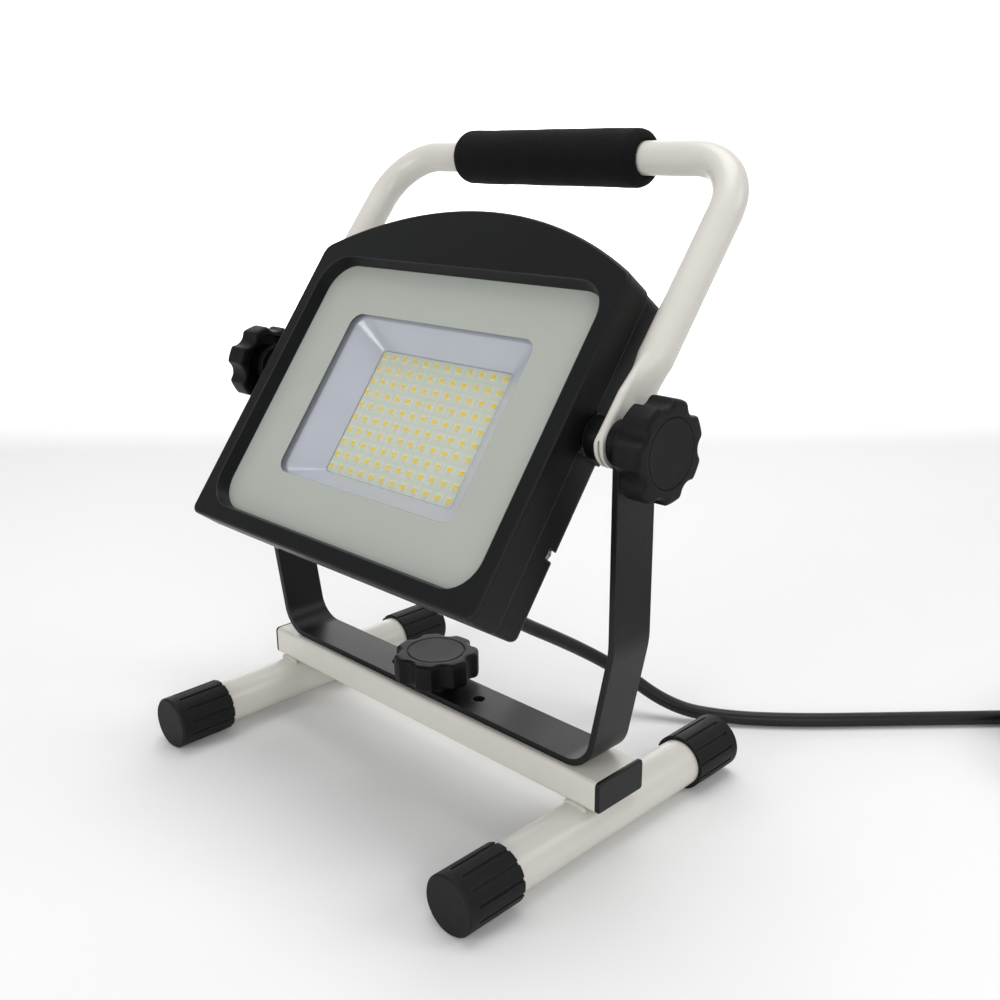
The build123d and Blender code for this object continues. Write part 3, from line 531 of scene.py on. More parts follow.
@dataclass(frozen=True)
class PrintedGlass:
    """Tempered soda-lime glass with a grey-green border fired on its front face."""

    name: str = "tempered_glass_printed_border"
    print_colour: str = "#ABAFA8"
    print_second: str = "#A4A9A1"
    window_half: float = 60.2
    window_low: float = -54.4
    window_high: float = 30.6
    window_corner: float = 6.5
    front_n: float = 14.3

    def material(self) -> Material:
        """Builds the glass: clear over the tray, printed round it, glossy all over."""
        made, tree = new_material(self.name)
        x, v, n = lamp_coordinates(tree)
        edge = rounded_box(tree, x, v, self.window_half, self.window_low, self.window_high,
                           self.window_corner)
        clear = add_node(tree, "ShaderNodeMapRange", {
            "Value": edge, "From Min": 0.25, "From Max": -0.25}).outputs[0]
        below = maths(tree, "LESS_THAN", n, (self.front_n - 0.5) * MM)
        clear = maths(tree, "MAXIMUM", clear, below)
        where = add_node(tree, "ShaderNodeTexCoord").outputs["Object"]
        speck = add_node(tree, "ShaderNodeTexNoise", {
            "Vector": where, "Scale": 1 / (35 * MM), "Detail": 4.0}).outputs["Fac"]
        tone = mix_colours(tree, speck, self.print_colour, self.print_second)
        printed = add_node(tree, "ShaderNodeBsdfPrincipled", {
            "Base Color": tone, "Roughness": 0.32, "IOR": 1.5,
            "Coat Weight": 0.25, "Coat Roughness": 0.2})
        through = add_node(tree, "ShaderNodeBsdfTransparent", {"Color": (0.97, 0.985, 0.975, 1)})
        gloss = add_node(tree, "ShaderNodeBsdfGlossy", {"Roughness": 0.03})
        inside = add_node(tree, "ShaderNodeNewGeometry").outputs["Backfacing"]
        mirror = maths(tree, "MULTIPLY", maths(tree, "SUBTRACT", 1.0, inside),
                       add_node(tree, "ShaderNodeFresnel", {"IOR": 1.45}).outputs[0])
        pane = add_node(tree, "ShaderNodeMixShader", {
            0: mirror, 1: through.outputs[0], 2: gloss.outputs[0]})
        both = add_node(tree, "ShaderNodeMixShader", {
            0: clear, 1: printed.outputs[0], 2: pane.outputs[0]})
        add_node(tree, "ShaderNodeOutputMaterial", {"Surface": both.outputs[0]})
        return made


@dataclass(frozen=True)
class BoardMask:
    """White solder mask over copper, tinted by age: pads show as paler bands by each LED."""

    name: str = "solder_mask_pale_green"
    mask: str = "#CFD1C6"
    copper_shade: str = "#DADBD1"
    gap_shade: str = "#B3B5AC"
    row_gap: tuple[float, float] = (0.14, 0.30)
    column_gap: tuple[float, float] = (0.12, 0.28)
    pad_across: tuple[float, float] = (2.0, 2.3)
    pad_up: tuple[float, float] = (1.5, 1.8)
    gap_share: float = 0.3

    def wave(self, tree: Tree, value: Socket, pitch: float,
             shift: float, fade: tuple[float, float]) -> Socket:
        """A band across each pitch.

        Args:
            tree: the material's tree.
            value: the coordinate in metres.
            pitch: spacing of the bands, millimetres.
            shift: where a band's middle lies, millimetres.
            fade: distances from the middle where the band starts to fade and where it is gone.

        Returns:
            1 on the bands, 0 between.
        """
        steps = maths(tree, "DIVIDE", maths(tree, "SUBTRACT", value, shift * MM), pitch * MM)
        off = maths(tree, "MULTIPLY", maths(tree, "ABSOLUTE", maths(
            tree, "SUBTRACT", steps, maths(tree, "ROUND", steps))), pitch)
        return add_node(tree, "ShaderNodeMapRange", {
            "Value": off, "From Min": fade[1], "From Max": fade[0]}).outputs[0]

    def material(self) -> Material:
        """Builds the board's material."""
        made, tree = new_material(self.name)
        x, v, _ = lamp_coordinates(tree)
        gaps = maths(tree, "MAXIMUM",
                     self.wave(tree, v, LED_PITCH_V, LED_GRID_V, self.row_gap),
                     self.wave(tree, x, LED_PITCH_X, 0.0, self.column_gap))
        pads = maths(tree, "MULTIPLY",
                     self.wave(tree, x, LED_PITCH_X, LED_PITCH_X / 2, self.pad_across),
                     self.wave(tree, v, LED_PITCH_V, LED_GRID_V + LED_PITCH_V / 2, self.pad_up))
        shaded = mix_colours(tree, maths(tree, "MULTIPLY", gaps, self.gap_share),
                             self.mask, self.gap_shade)
        colour = mix_colours(tree, pads, shaded, self.copper_shade)
        bump = add_node(tree, "ShaderNodeBump", {
            "Height": maths(tree, "SUBTRACT", pads, gaps), "Strength": 0.3, "Distance": 0.00008})
        shader = add_node(tree, "ShaderNodeBsdfPrincipled", {
            "Base Color": colour, "Roughness": 0.38, "IOR": 1.5,
            "Normal": bump.outputs[0]})
        add_node(tree, "ShaderNodeOutputMaterial", {"Surface": shader.outputs[0]})
        return made


def dress(obj: Piece, material: Material) -> None:
    """Gives every material slot of an object one material.

    Args:
        obj: the object.
        material: the material.
    """
    if not obj.data.materials:
        obj.data.materials.append(material)
    for used in obj.material_slots:
        used.material = material


def dress_node(name: str, finish: Any) -> None:
    """Dresses a CAD node by its name."""
    dress(bpy.data.objects[name], finish.material())
    log.info("dressed %s: %s", name, finish.name)


def place_piece(obj: Piece, finish: Any, body: str,
                nodes: Iterable[str] = ()) -> Piece:
    """Dresses a new piece, rides it on a body and hides the CAD nodes it replaces.

    Args:
        obj: the piece.
        finish: its finish.
        body: the CAD body it moves with.
        nodes: CAD nodes that it replaces.

    Returns:
        The piece.
    """
    dress(obj, finish.material())
    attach(obj, body)
    if nodes:
        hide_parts(*nodes)
    log.info("built %s: %d faces, %s", obj.name, len(obj.data.polygons), finish.name)
    return obj


# ------------------------------------------------------------------ geometry nodes
class Recipe:
    """A Geometry Nodes tree with named inputs, run on points and turned into a plain mesh."""

    def __init__(self, name: str, inputs: dict[str, float]) -> None:
        """Starts the tree.

        Args:
            name: the tree's name.
            inputs: each named size and its value, in metres.
        """
        self.tree = bpy.data.node_groups.new(name, "GeometryNodeTree")
        face = self.tree.interface
        face.new_socket("Geometry", in_out="INPUT", socket_type="NodeSocketGeometry")
        face.new_socket("Geometry", in_out="OUTPUT", socket_type="NodeSocketGeometry")
        self.values = inputs
        self.keys = {}
        for label in inputs:
            made = face.new_socket(label, in_out="INPUT", socket_type="NodeSocketFloat")
            self.keys[label] = made.identifier
        self.source = self.tree.nodes.new("NodeGroupInput")
        self.sink = self.tree.nodes.new("NodeGroupOutput")

    def size(self, label: str) -> Socket:
        """The socket of a named input."""
        return self.source.outputs[label]

    def node(self, kind: str, inputs: Optional[dict] = None, **settings: Any) -> bpy.types.Node:
        """Adds a node to this tree; see add_node."""
        return add_node(self.tree, kind, inputs, **settings)

    def scatter(self, unit: Socket) -> Socket:
        """Puts a unit on every input point."""
        return self.node("GeometryNodeInstanceOnPoints", {
            "Points": self.source.outputs["Geometry"], "Instance": unit}).outputs[0]

    def raised(self, shape: Socket, label: str, share: float) -> Socket:
        """Moves a shape along local Z by a share of a named input.

        Args:
            shape: the geometry.
            label: the input.
            share: how much of it.

        Returns:
            The moved geometry.
        """
        lift = self.node("ShaderNodeMath", {0: self.size(label), 1: share}, operation="MULTIPLY")
        up = self.node("ShaderNodeCombineXYZ", {2: lift.outputs[0]}).outputs[0]
        return self.node("GeometryNodeTransform", {"Geometry": shape, "Translation": up}).outputs[0]

    def box(self, *labels: str) -> Socket:
        """A block standing on its local XY plane.

        Args:
            labels: the inputs that give its width, depth and height.

        Returns:
            The block.
        """
        sides = {i: self.size(label) for i, label in enumerate(labels)}
        block = self.node("GeometryNodeMeshCube", {
            "Size": self.node("ShaderNodeCombineXYZ", sides).outputs[0]}).outputs["Mesh"]
        return self.raised(block, labels[2], 0.5)

    def rod(self, sides: int, radius: str, height: str, share: float) -> Socket:
        """A cylinder with its middle raised by a share of its height.

        Args:
            sides: number of sides.
            radius: the input that gives its radius.
            height: the input that gives its height.
            share: 0.5 to stand on the local XY plane, -0.5 to hang under it.

        Returns:
            The cylinder.
        """
        made = self.node("GeometryNodeMeshCylinder", {
            "Vertices": sides, "Radius": self.size(radius), "Depth": self.size(height)})
        return self.raised(made.outputs["Mesh"], height, share)

    def run(self, name: str, points: Sequence[Vector], result: Socket,
            finish: Any, place: Optional[Matrix] = None) -> Piece:
        """Ends the tree, evaluates it on the points and gives a plain mesh object.

        Args:
            name: the new piece's name.
            points: where the units go, in the recipe's own space, in metres.
            result: the geometry to realize.
            finish: the finish it gets.
            place: a matrix applied to the finished mesh.

        Returns:
            The object, with no modifier on it.
        """
        whole = self.node("GeometryNodeRealizeInstances", {0: result}).outputs[0]
        painted = self.node("GeometryNodeSetMaterial", {"Geometry": whole,
                                                        "Material": finish.material()})
        self.tree.links.new(painted.outputs[0], self.sink.inputs[0])
        cloud = bpy.data.meshes.new(name + "_points")
        cloud.from_pydata([tuple(p) for p in points], [], [])
        carrier = bpy.data.objects.new(name + "_points", cloud)
        bpy.context.collection.objects.link(carrier)
        modifier = carrier.modifiers.new("recipe", "NODES")
        modifier.node_group = self.tree
        for label, value in self.values.items():
            modifier[self.keys[label]] = value
        graph = bpy.context.evaluated_depsgraph_get()
        graph.update()
        mesh = bpy.data.meshes.new_from_object(carrier.evaluated_get(graph), depsgraph=graph)
        bpy.data.objects.remove(carrier)
        if place is not None:
            mesh.transform(place)
        return finish_mesh(name, mesh)


# ------------------------------------------------------------------ sub-assemblies
@dataclass
class Stand:
    """The tubular stand: dressed CAD pieces and rippled weld beads."""

    foot_x: float = 103.5
    bar_half_width: float = 15.0
    bar_bottom: float = 23.8
    tube_r: float = 11.0
    ripple_r: float = 1.35
    ripples: int = 13
    ripple_step: float = 0.8

    def build(self) -> None:
        """Dresses the stand and builds its weld beads."""
        for side in ("left", "right"):
            dress_node(f"foot_tube_{side}", WHITE_POWDER)
            dress_node(f"crossbar_plug_{side}", END_PLUG)
            for end in ("front", "rear"):
                dress_node(f"foot_cap_{end}_{side}", FOOT_RUBBER)
        dress_node("crossbar", WHITE_POWDER)
        dress_node("swivel_bolt", ZINC)
        self.weld_beads()

    def weld_beads(self) -> None:
        """Lays a row of overlapping weld ripples along each edge of the crossbar."""
        recipe = Recipe("weld_ripples", {"Ripple radius": self.ripple_r * MM})
        ball = recipe.node("GeometryNodeMeshUVSphere", {
            "Segments": 12, "Rings": 8, "Radius": recipe.size("Ripple radius")}).outputs["Mesh"]
        points = []
        for side in (-1, 1):
            for edge in (-1, 1):
                for i in range(self.ripples):
                    off = (i - self.ripples // 2) * self.ripple_step
                    drop = self.tube_r - math.sqrt(self.tube_r ** 2 - off ** 2)
                    points.append(stand_point(side * self.foot_x + off,
                                              edge * (self.bar_half_width + 0.1),
                                              self.bar_bottom - drop * 0.6 + 0.1))
        bead = recipe.run("weld_bead_ripples", points, recipe.scatter(ball), WELD_POWDER)
        place_piece(bead, WELD_POWDER, "base", ["weld_beads"])


@dataclass
class StarKnob:
    """A seven-lobed clamp knob with soft lobes and a ring groove in its face."""

    name: str
    body: str
    place: Matrix
    radius: float = 20.75
    height: float = 14.4
    hub_h: float = 1.6
    lobes: int = 7
    scallop_r: float = 6.2
    core_r: float = 10.0
    bore_r: float = 4.3
    bore_depth: float = 9.0
    around: int = 168

    def edge(self, radius: float, angle: float, height: float) -> float:
        """The knob's radius at an angle: full on a lobe, drawn in between lobes.

        Args:
            radius: the profile's radius.
            angle: round the axis.
            height: not used by the shape.

        Returns:
            The radius there.
        """
        pitch = 2 * math.pi / self.lobes
        off = (angle + pitch / 2) % pitch - pitch / 2
        centre = self.radius + 0.55 * self.scallop_r
        reach = self.scallop_r ** 2 - (centre * math.sin(off)) ** 2
        cut = self.radius - centre * math.cos(off) + math.sqrt(max(reach, 0.0))
        cut = (cut + math.hypot(cut, 0.8)) / 2
        share = max(0.0, min(1.0, (radius / self.radius - 0.72) / 0.17))
        return radius * (1 - share * cut / self.radius)

    def profile(self) -> list[tuple[float, float]]:
        """The knob's section, from the end of its bore round to the middle of its face."""
        r, h, low, core = self.radius, self.height, self.hub_h, self.core_r
        foot_round, face_round, groove = 1.8, 2.3, self.radius * 0.67
        points = [(self.bore_r, self.bore_depth), (self.bore_r, 0.0), (core - 0.4, 0.0),
                  (core, 0.4), (core, low + 3.5), (core + 0.8, low + 7.5), (r - 5.4, low + 7.5),
                  (r - 4.6, low + 6.5), (r - 4.0, low + 0.6), (r - 3.5, low)]
        points += arc((r - foot_round, low + foot_round), foot_round, -90, 6)
        points += arc((r - face_round, h - face_round), face_round, 0, 8)
        points += [(groove + 2.2, h), (groove + 0.45, h), (groove + 0.15, h - 0.55),
                   (groove - 0.15, h - 0.55), (groove - 0.45, h), (groove - 1.4, h - 0.05),
                   (groove * 0.6, h - 0.1), (0.6, h - 0.1)]
        return points

    def build(self) -> None:
        """Builds the knob and dresses its insert."""
        verts, faces = lathe(self.profile(), self.place, self.around, self.edge)
        knob = mesh_object(f"{self.name}_moulding", verts, faces)
        place_piece(knob, NYLON, self.body, [self.name])
        dress_node(f"{self.name}_insert", BRASS)


@dataclass
class Bracket:
    """The U-bracket with its spacers, washers and clamp knobs."""

    seat_x: float = 121.0
    base_seat_z: float = 42.8

    def build(self) -> None:
        """Dresses the bracket and builds its three knobs."""
        dress_node("u_bracket", BLACK_POWDER)
        for side in ("left", "right"):
            dress_node(f"pivot_spacer_{side}", NYLON)
            dress_node(f"pivot_washer_{side}", ZINC)
            dress_node(f"pivot_stud_{side}", ZINC)
        dress_node("swivel_washer", ZINC)
        for side, sign in (("left", -1), ("right", 1)):
            turn = Matrix(((0, 0, sign), (0, sign * -1.0, 0), (1, 0, 0))).to_4x4()
            centre = stand_point(sign * self.seat_x, 0, PIVOT_Z)
            place = Matrix.Translation(centre) @ turn @ Matrix.Rotation(0.16, 4, "Z")
            StarKnob(f"side_knob_{side}", f"{side}_knob", place).build()
        base = Matrix.Translation(stand_point(0, 0, self.base_seat_z))
        StarKnob("base_knob", "swivel_knob", base @ Matrix.Rotation(0.30, 4, "Z")).build()


@dataclass
class Handle:
    """The carry handle: powder-coated tube and foam sleeve."""

    reach: float = 133.5
    start_x: float = -59.7
    length: float = 114.8
    radius: float = 13.25
    bore: float = 7.6
    end_round: float = 5.0
    steps: int = 44
    around: int = 96
    seed: float = 4.7

    def build(self) -> None:
        """Dresses the tube and builds the sleeve."""
        dress_node("handle_tube", WHITE_POWDER)
        self.sleeve()

    def sleeve(self) -> None:
        """Builds the foam sleeve, a little uneven and rounded at its ends."""
        centre = stand_point(self.start_x, self.reach * math.sin(HANDLE_TILT),
                             PIVOT_Z + self.reach * math.cos(HANDLE_TILT))
        place = Matrix.Translation(centre) @ Matrix(((0, 0, 1), (0, -1, 0), (1, 0, 0))).to_4x4()
        r, n = self.radius, self.end_round
        rows = [(self.bore, 0.9), (self.bore + 1.2, 0.25)]
        rows += arc((r - n, n), n, -90, 8)
        rows += [(r, n + (self.length - 2 * n) * i / self.steps) for i in range(1, self.steps)]
        rows += arc((r - n, self.length - n), n, 0, 8)
        rows += [(self.bore + 1.2, self.length - 0.25), (self.bore, self.length - 0.9)]

        def uneven(radius: float, angle: float, height: float) -> float:
            """The sleeve's radius, with shallow lumps left by handling."""
            if radius < self.bore + 2:
                return radius
            spot = Vector((math.cos(angle) * 1.2, math.sin(angle) * 1.2, height * 0.045 + self.seed))
            return radius - 0.28 + 0.30 * noise.noise(spot) + 0.10 * noise.noise(spot * 4.0)

        verts, faces = lathe(rows, place, self.around, uneven, closed=True)
        grip = mesh_object("handle_foam_sleeve", verts, faces)
        place_piece(grip, FOAM, "handle", ["handle_grip"])


@dataclass
class Lamp:
    """The lamp head: housing, glass, tray, board, LEDs, screws and gland."""

    columns: int = 12
    rows: int = 10
    board_n: float = 1.3
    back_n: float = -3.3
    cover_back_n: float = -28.3

    def build(self) -> None:
        """Dresses the lamp's CAD pieces and builds the repeated ones."""
        for name in ("front_bezel", "rear_housing", "driver_cover"):
            dress_node(name, CAST_PAINT)
        dress_node("front_glass", PrintedGlass())
        dress_node("glass_gasket", SEAL)
        dress_node("driver_cover_seal", SEAL)
        dress_node("reflector", TRAY)
        dress_node("led_board", BoardMask())
        dress_node("driver_module", RESIN)
        dress_node("gland_body", NYLON)
        dress_node("gland_nut", NYLON)
        self.leds()
        self.screws()

    def grid(self) -> list[Vector]:
        """The LED positions on the board, in metres, in the board's own plane."""
        return [Vector(((i - (self.columns - 1) / 2) * LED_PITCH_X,
                        (j - (self.rows - 1) / 2) * LED_PITCH_V, 0)) * MM
                for j in range(self.rows) for i in range(self.columns)]

    def leds(self) -> None:
        """Builds the white packages and the phosphor windows in them."""
        place = lamp_matrix(0, LED_GRID_V, self.board_n)
        for name, size, finish, nodes in (
                ("led_packages", (3.2, 2.6, 0.52), PACKAGE, ["leds"]),
                ("led_phosphor_windows", (2.6, 2.1, 0.66), PHOSPHOR, [])):
            labels = ("Width", "Depth", "Height")
            recipe = Recipe(name, {label: side * MM for label, side in zip(labels, size)})
            units = recipe.scatter(recipe.box(*labels))
            made = recipe.run(name, self.grid(), units, finish, place)
            place_piece(made, finish, "lamp", nodes)

    def screw_set(self, name: str, node: str, spots: Sequence[tuple[float, float]], n: float,
                  out_of_back: bool, head_d: float, head_h: float, shank: float) -> None:
        """Builds one set of cross-recess screws.

        Args:
            name: the piece's name.
            node: the CAD node it replaces.
            spots: x and v of each screw.
            n: height of the seat under the heads.
            out_of_back: whether heads stand out of the lamp's back.
            head_d: head diameter.
            head_h: head height.
            shank: shank length under the head.
        """
        recipe = Recipe(name, {"Head radius": head_d / 2 * MM, "Head height": head_h * MM,
                               "Slot": head_d * 0.62 * MM, "Slot width": head_d * 0.15 * MM,
                               "Shank radius": head_d * 0.255 * MM, "Shank": shank * MM})
        cut = recipe.node("GeometryNodeMeshBoolean", {
            "Mesh 1": recipe.rod(32, "Head radius", "Head height", 0.5)}, operation="DIFFERENCE")
        for sides in (("Slot", "Slot width"), ("Slot width", "Slot")):
            bar = recipe.box(*sides, "Head height")
            recipe.tree.links.new(recipe.raised(bar, "Head height", 0.45), cut.inputs["Mesh 2"])
        unit = recipe.node("GeometryNodeJoinGeometry")
        for shape in (cut.outputs[0], recipe.rod(16, "Shank radius", "Shank", -0.5)):
            recipe.tree.links.new(shape, unit.inputs[0])
        flip = -1 if out_of_back else 1
        points = [Vector((flip * x, v, 0)) * MM for x, v in spots]
        place = lamp_matrix(0, 0, n, out_of_back)
        made = recipe.run(name, points, recipe.scatter(unit.outputs[0]), ZINC, place)
        place_piece(made, ZINC, "lamp", [node])

    def screws(self) -> None:
        """Builds the bezel, cover and board screws."""
        edge = [(s * 95.2, v) for s in (-1, 1) for v in (40.0, -50.0)]
        edge += [(s * 58.0, v) for s in (-1, 1) for v in (-84.7, 62.8)]
        self.screw_set("bezel_screw_set", "bezel_screws", edge, self.back_n, True, 5.6, 2.0, 16.0)
        cover = [(s * 51.0, v) for s in (-1, 1) for v in (-77.0, -11.0)]
        self.screw_set("cover_screw_set", "driver_cover_screws", cover, self.cover_back_n, True,
                       5.6, 2.0, 23.0)
        board = [(s * 46.0, LED_GRID_V + t * 35.7) for s in (-1, 1) for t in (-1, 1)]
        self.screw_set("board_screw_set", "board_screws", board, self.board_n, False,
                       3.8, 1.0, 3.0)


@dataclass
class Lead:
    """The mains lead: ribbed strain relief, sheath, wound spare length and plug."""

    diameter: float = 7.2
    gland_x: float = 20.0
    gland_v: float = -70.0
    relief_from: float = -41.3
    relief_length: float = 28.0
    first_run: float = 27.8
    turn_out: float = 43.6
    tail_turn: float = 1540.0
    floor_gap: float = 0.2
    sides: int = 24

    def relief(self) -> None:
        """Builds the tapered strain relief with its flexing ribs."""
        place = lamp_matrix(self.gland_x, self.gland_v, self.relief_from, True)
        rows = [(0.5, 0.0), (5.45, 0.0), (5.5, 0.4), (5.5, 3.4)]
        ribs, start, pitch = 6, 3.4, 3.7
        for i in range(ribs):
            z = start + i * pitch
            taper = 5.5 - 1.0 * (i + 0.5) / ribs
            rows += [(taper, z), (4.15, z + 0.35), (4.15, z + 1.25), (taper - 0.05, z + 1.6),
                     (taper - 0.1, z + pitch - 0.05)]
        end = self.relief_length
        rows += [(4.4, end - 1.5), (4.3, end - 0.3), (4.0, end), (0.5, end)]
        verts, faces = lathe(rows, place, 48)
        piece = mesh_object("strain_relief_ribbed", verts, faces)
        place_piece(piece, SHEATH, "lamp", ["cord_strain_relief"])

    def route(self) -> tuple[list[Vector], list[Vector]]:
        """The control points of the lead, in metres.

        Returns:
            The part from the lamp to the joint, and the part from there to the plug.
        """
        tip_n = self.relief_from - self.relief_length
        tip = lamp_point(self.gland_x, self.gland_v, tip_n)
        below = lamp_point(self.gland_x, self.gland_v, tip_n - self.first_run)
        top, foot = stand_point(23.6, 58.0, 52.9), stand_point(30.2, 98.0, 26.4)
        joint = top + (foot - top) * 0.2
        upper = [tip, below, top, joint]
        floor = self.diameter / 2 + self.floor_gap
        flat = [(61.0, 109.5, 7.2), (86.0, 126.0, floor), (115.0, 150.0, floor),
                (150.0, 186.0, floor), (187.0, 224.0, floor), (214.0, 253.0, floor)]
        lower = [joint, foot] + [stand_point(*p) for p in flat]
        return upper, lower + self.coil_and_tail(lower[-2], lower[-1])

    def coil_and_tail(self, before: Vector, start: Vector) -> list[Vector]:
        """A little over four turns wound in three layers, and the tail to the plug.

        Args:
            before: the route's last point but one.
            start: its last point, where the winding begins.

        Returns:
            The control points after start.
        """
        heading = (start - before).normalized()
        inward = Vector((heading.y, -heading.x, 0))
        centre = start + inward * self.turn_out * MM
        first = math.atan2(-inward.y, -inward.x)
        out, d = self.turn_out, self.diameter
        low = d / 2 + self.floor_gap
        # Angle, radius and height at which each stretch of the winding starts
        keys = [(0, out, low), (300, out, low), (360, out - d, low), (600, out - d, low),
                (660, out - d, low + d), (900, out - d, low + d), (960, out, low + d),
                (1200, out, low + d), (1260, out, low + 2 * d), (self.tail_turn, out, low + 2 * d)]
        step = 22.0
        spread = 1 / math.cos(math.radians(step / 2))
        points, angle = [], 20.0
        while angle < 1534:
            index = max(i for i, key in enumerate(keys) if key[0] <= angle)
            a, b = keys[index], keys[index + 1]
            t = (angle - a[0]) / (b[0] - a[0])
            t = t * t * (3 - 2 * t)
            r, z = a[1] + (b[1] - a[1]) * t, a[2] + (b[2] - a[2]) * t
            turn = first - math.radians(angle)
            flat = Vector((math.cos(turn), math.sin(turn), 0)) * r * spread * MM
            points.append(centre + flat + Vector((0, 0, z * MM - start.z)))
            angle += step
        turn = first - math.radians(self.tail_turn)
        outward = Vector((math.cos(turn), math.sin(turn), 0))
        ahead = Vector((outward.y, -outward.x, 0))
        side = Vector((-ahead.y, ahead.x, 0))
        leave = centre + outward * out * MM
        offsets = [(0, 0, 18.2), (26, 0, 18.2), (56, 8, 9.0), (84, 27, 18.2), (95, 50, 18.2)]
        tail = [Vector((leave.x, leave.y, 0)) + (ahead * f + side * s + Vector((0, 0, z))) * MM
                for f, s, z in offsets]
        return points + tail

    def smooth_line(self, points: Sequence[Vector]) -> list[Vector]:
        """Samples the NURBS spline whose control points are given.

        Args:
            points: the control points in metres.

        Returns:
            Points along the spline.
        """
        data = bpy.data.curves.new("lead_route", "CURVE")
        data.dimensions = "3D"
        data.resolution_u = 10
        spline = data.splines.new("NURBS")
        spline.points.add(len(points) - 1)
        for spot, point in zip(spline.points, points):
            spot.co = (*point, 1.0)
        spline.order_u = 3
        spline.use_endpoint_u = True
        carrier = bpy.data.objects.new("lead_route", data)
        bpy.context.collection.objects.link(carrier)
        graph = bpy.context.evaluated_depsgraph_get()
        graph.update()
        mesh = bpy.data.meshes.new_from_object(carrier.evaluated_get(graph), depsgraph=graph)
        line = [v.co.copy() for v in mesh.vertices]
        bpy.data.objects.remove(carrier)
        return line

    def tube(self, name: str, line: Sequence[Vector]) -> Piece:
        """A closed round tube along a line, with no twist.

        Args:
            name: the piece's name.
            line: the points it follows, in metres.

        Returns:
            The object.
        """
        verts, n, r = [], self.sides, self.diameter / 2 * MM
        tangent = (line[1] - line[0]).normalized()
        across = tangent.orthogonal().normalized()
        for i, point in enumerate(line):
            ahead = (line[min(i + 1, len(line) - 1)] - line[max(i - 1, 0)]).normalized()
            across = (across - ahead * across.dot(ahead)).normalized()
            other = ahead.cross(across)
            for j in range(n):
                a = 2 * math.pi * j / n
                verts.append(point + (across * math.cos(a) + other * math.sin(a)) * r)
        return mesh_object(name, verts, skin(len(line), n))

    def stretch(self, name: str, points: Sequence[Vector], nodes: Sequence[str]
                ) -> tuple[Piece, list[Vector]]:
        """Builds one stretch of the lead.

        Args:
            name: the piece's name.
            points: its control points in metres.
            nodes: CAD nodes that it replaces.

        Returns:
            The piece and its middle line.
        """
        line = self.smooth_line(points)
        log.info("%s is %.4f m long", name, sum((b - a).length for a, b in zip(line, line[1:])))
        obj = self.tube(name, line)
        dress(obj, SHEATH.material())
        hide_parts(*nodes)
        return obj, line

    def build(self) -> None:
        """Builds the relief and both stretches of the lead, and dresses the plug."""
        self.relief()
        dress_node("plug_body", SHEATH)
        dress_node("plug_pins", PIN_METAL)
        upper, lower = self.route()
        obj, line = self.stretch("power_lead_upper", upper, ["power_cord_upper"])
        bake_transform(obj)
        obj, line = self.stretch("power_lead_main", lower, [
            "power_cord_lower", "power_cord_coil", "power_cord_tail"])
        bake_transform(obj)


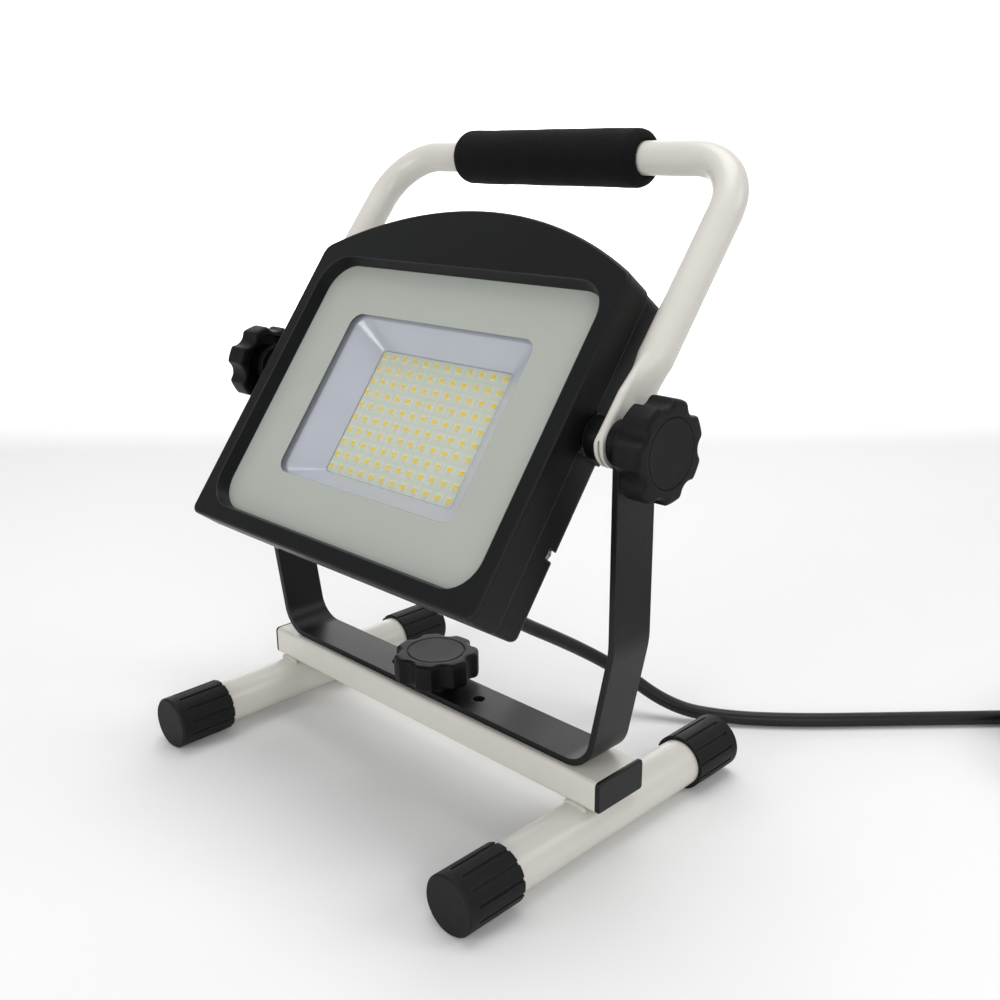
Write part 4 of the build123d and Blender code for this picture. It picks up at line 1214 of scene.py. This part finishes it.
# ------------------------------------------------------------------ studio
@dataclass
class Studio:
    """The floor, the lights and the camera."""

    lens: float = 40.88
    sensor: float = 36.0
    camera_at: tuple[float, float, float] = (378.71, -335.15, 292.53)
    azimuth: float = 44.907
    elevation: float = 17.506
    roll: float = -0.424

    def build(self) -> None:
        """Builds the whole studio."""
        self.floor()
        self.lights()
        self.camera()

    def floor(self) -> None:
        """Lays a pale floor that curves up far behind the object."""
        verts, faces = [], []
        for i in range(33):
            a = math.pi / 2 * i / 32
            verts += [(-6, 4 + 2 * math.sin(a), 2 - 2 * math.cos(a)),
                      (6, 4 + 2 * math.sin(a), 2 - 2 * math.cos(a))]
        verts = [(-6, -5, 0), (6, -5, 0)] + verts + [(-6, 6, 5), (6, 6, 5)]
        for i in range(len(verts) // 2 - 1):
            faces.append((2 * i, 2 * i + 1, 2 * i + 3, 2 * i + 2))
        turn = Matrix.Rotation(math.radians(self.azimuth), 4, "Z")
        sheet = mesh_object("studio_floor", [turn @ Vector(v) for v in verts], faces)
        paper = Finish("matt_white_paper", "#EFEFEE", "#ECECEB", 0.85, 0.02, edge_mm=0.0,
                       relief=0.0, patch_mm=400.0)
        dress(sheet, paper.material())

    def area(self, name: str, at: tuple[float, float, float], size: float, power: float,
             target: tuple[float, float, float] = (0, 0, 0.15)) -> None:
        """Adds one soft square light.

        Args:
            name: its name.
            at: where it hangs, metres.
            size: its side, metres.
            power: its power, watts.
            target: what it faces.
        """
        data = bpy.data.lights.new(name, "AREA")
        data.energy, data.size = power, size
        lamp = bpy.data.objects.new(name, data)
        lamp.location = at
        lamp.rotation_euler = (Vector(target) - Vector(at)).to_track_quat("-Z", "Y").to_euler()
        bpy.context.collection.objects.link(lamp)

    def lights(self) -> None:
        """Hangs a softbox, three panels and a backdrop light under an even pale sky."""
        world = bpy.data.worlds.new("studio_air")
        world.use_nodes = True
        world.node_tree.nodes["Background"].inputs[0].default_value = linear("#F4F5F7")
        world.node_tree.nodes["Background"].inputs[1].default_value = 0.42
        bpy.context.scene.world = world
        self.area("overhead_softbox", (-0.1, 0.3, 1.6), 1.1, 13.0)
        self.area("front_panel", (-0.3, -1.8, 0.7), 0.8, 11.0)
        self.area("near_panel", (1.5, -0.9, 0.8), 0.7, 8.0)
        self.area("right_panel", (1.3, 0.9, 1.1), 0.7, 5.0)
        self.area("backdrop_light", (-1.2, 1.2, 2.6), 2.6, 420.0, (-3.2, 3.2, 1.4))

    def camera(self) -> None:
        """Sets the camera."""
        a, e, roll = (math.radians(v) for v in (self.azimuth, self.elevation, self.roll))
        back = Vector((math.sin(a) * math.cos(e), -math.cos(a) * math.cos(e), math.sin(e)))
        right = (-back).cross(Vector((0, 0, 1))).normalized()
        up = right.cross(-back)
        x = right * math.cos(roll) + up * math.sin(roll)
        y = up * math.cos(roll) - right * math.sin(roll)
        data = bpy.data.cameras.new("camera")
        data.lens, data.sensor_width, data.sensor_fit = self.lens, self.sensor, "HORIZONTAL"
        data.clip_start = 0.01
        camera = bpy.data.objects.new("camera", data)
        turn = Matrix((x, y, back)).transposed().to_4x4()
        camera.matrix_world = Matrix.Translation(stand_point(*self.camera_at)) @ turn
        bpy.context.collection.objects.link(camera)
        bpy.context.scene.camera = camera
        bpy.context.scene.view_settings.view_transform = "Standard"


def main() -> None:
    """Builds every sub-assembly in order."""
    Studio().build()
    Lead().build()
    Stand().build()
    Bracket().build()
    Handle().build()
    Lamp().build()


if __name__ == "__main__":
    main()
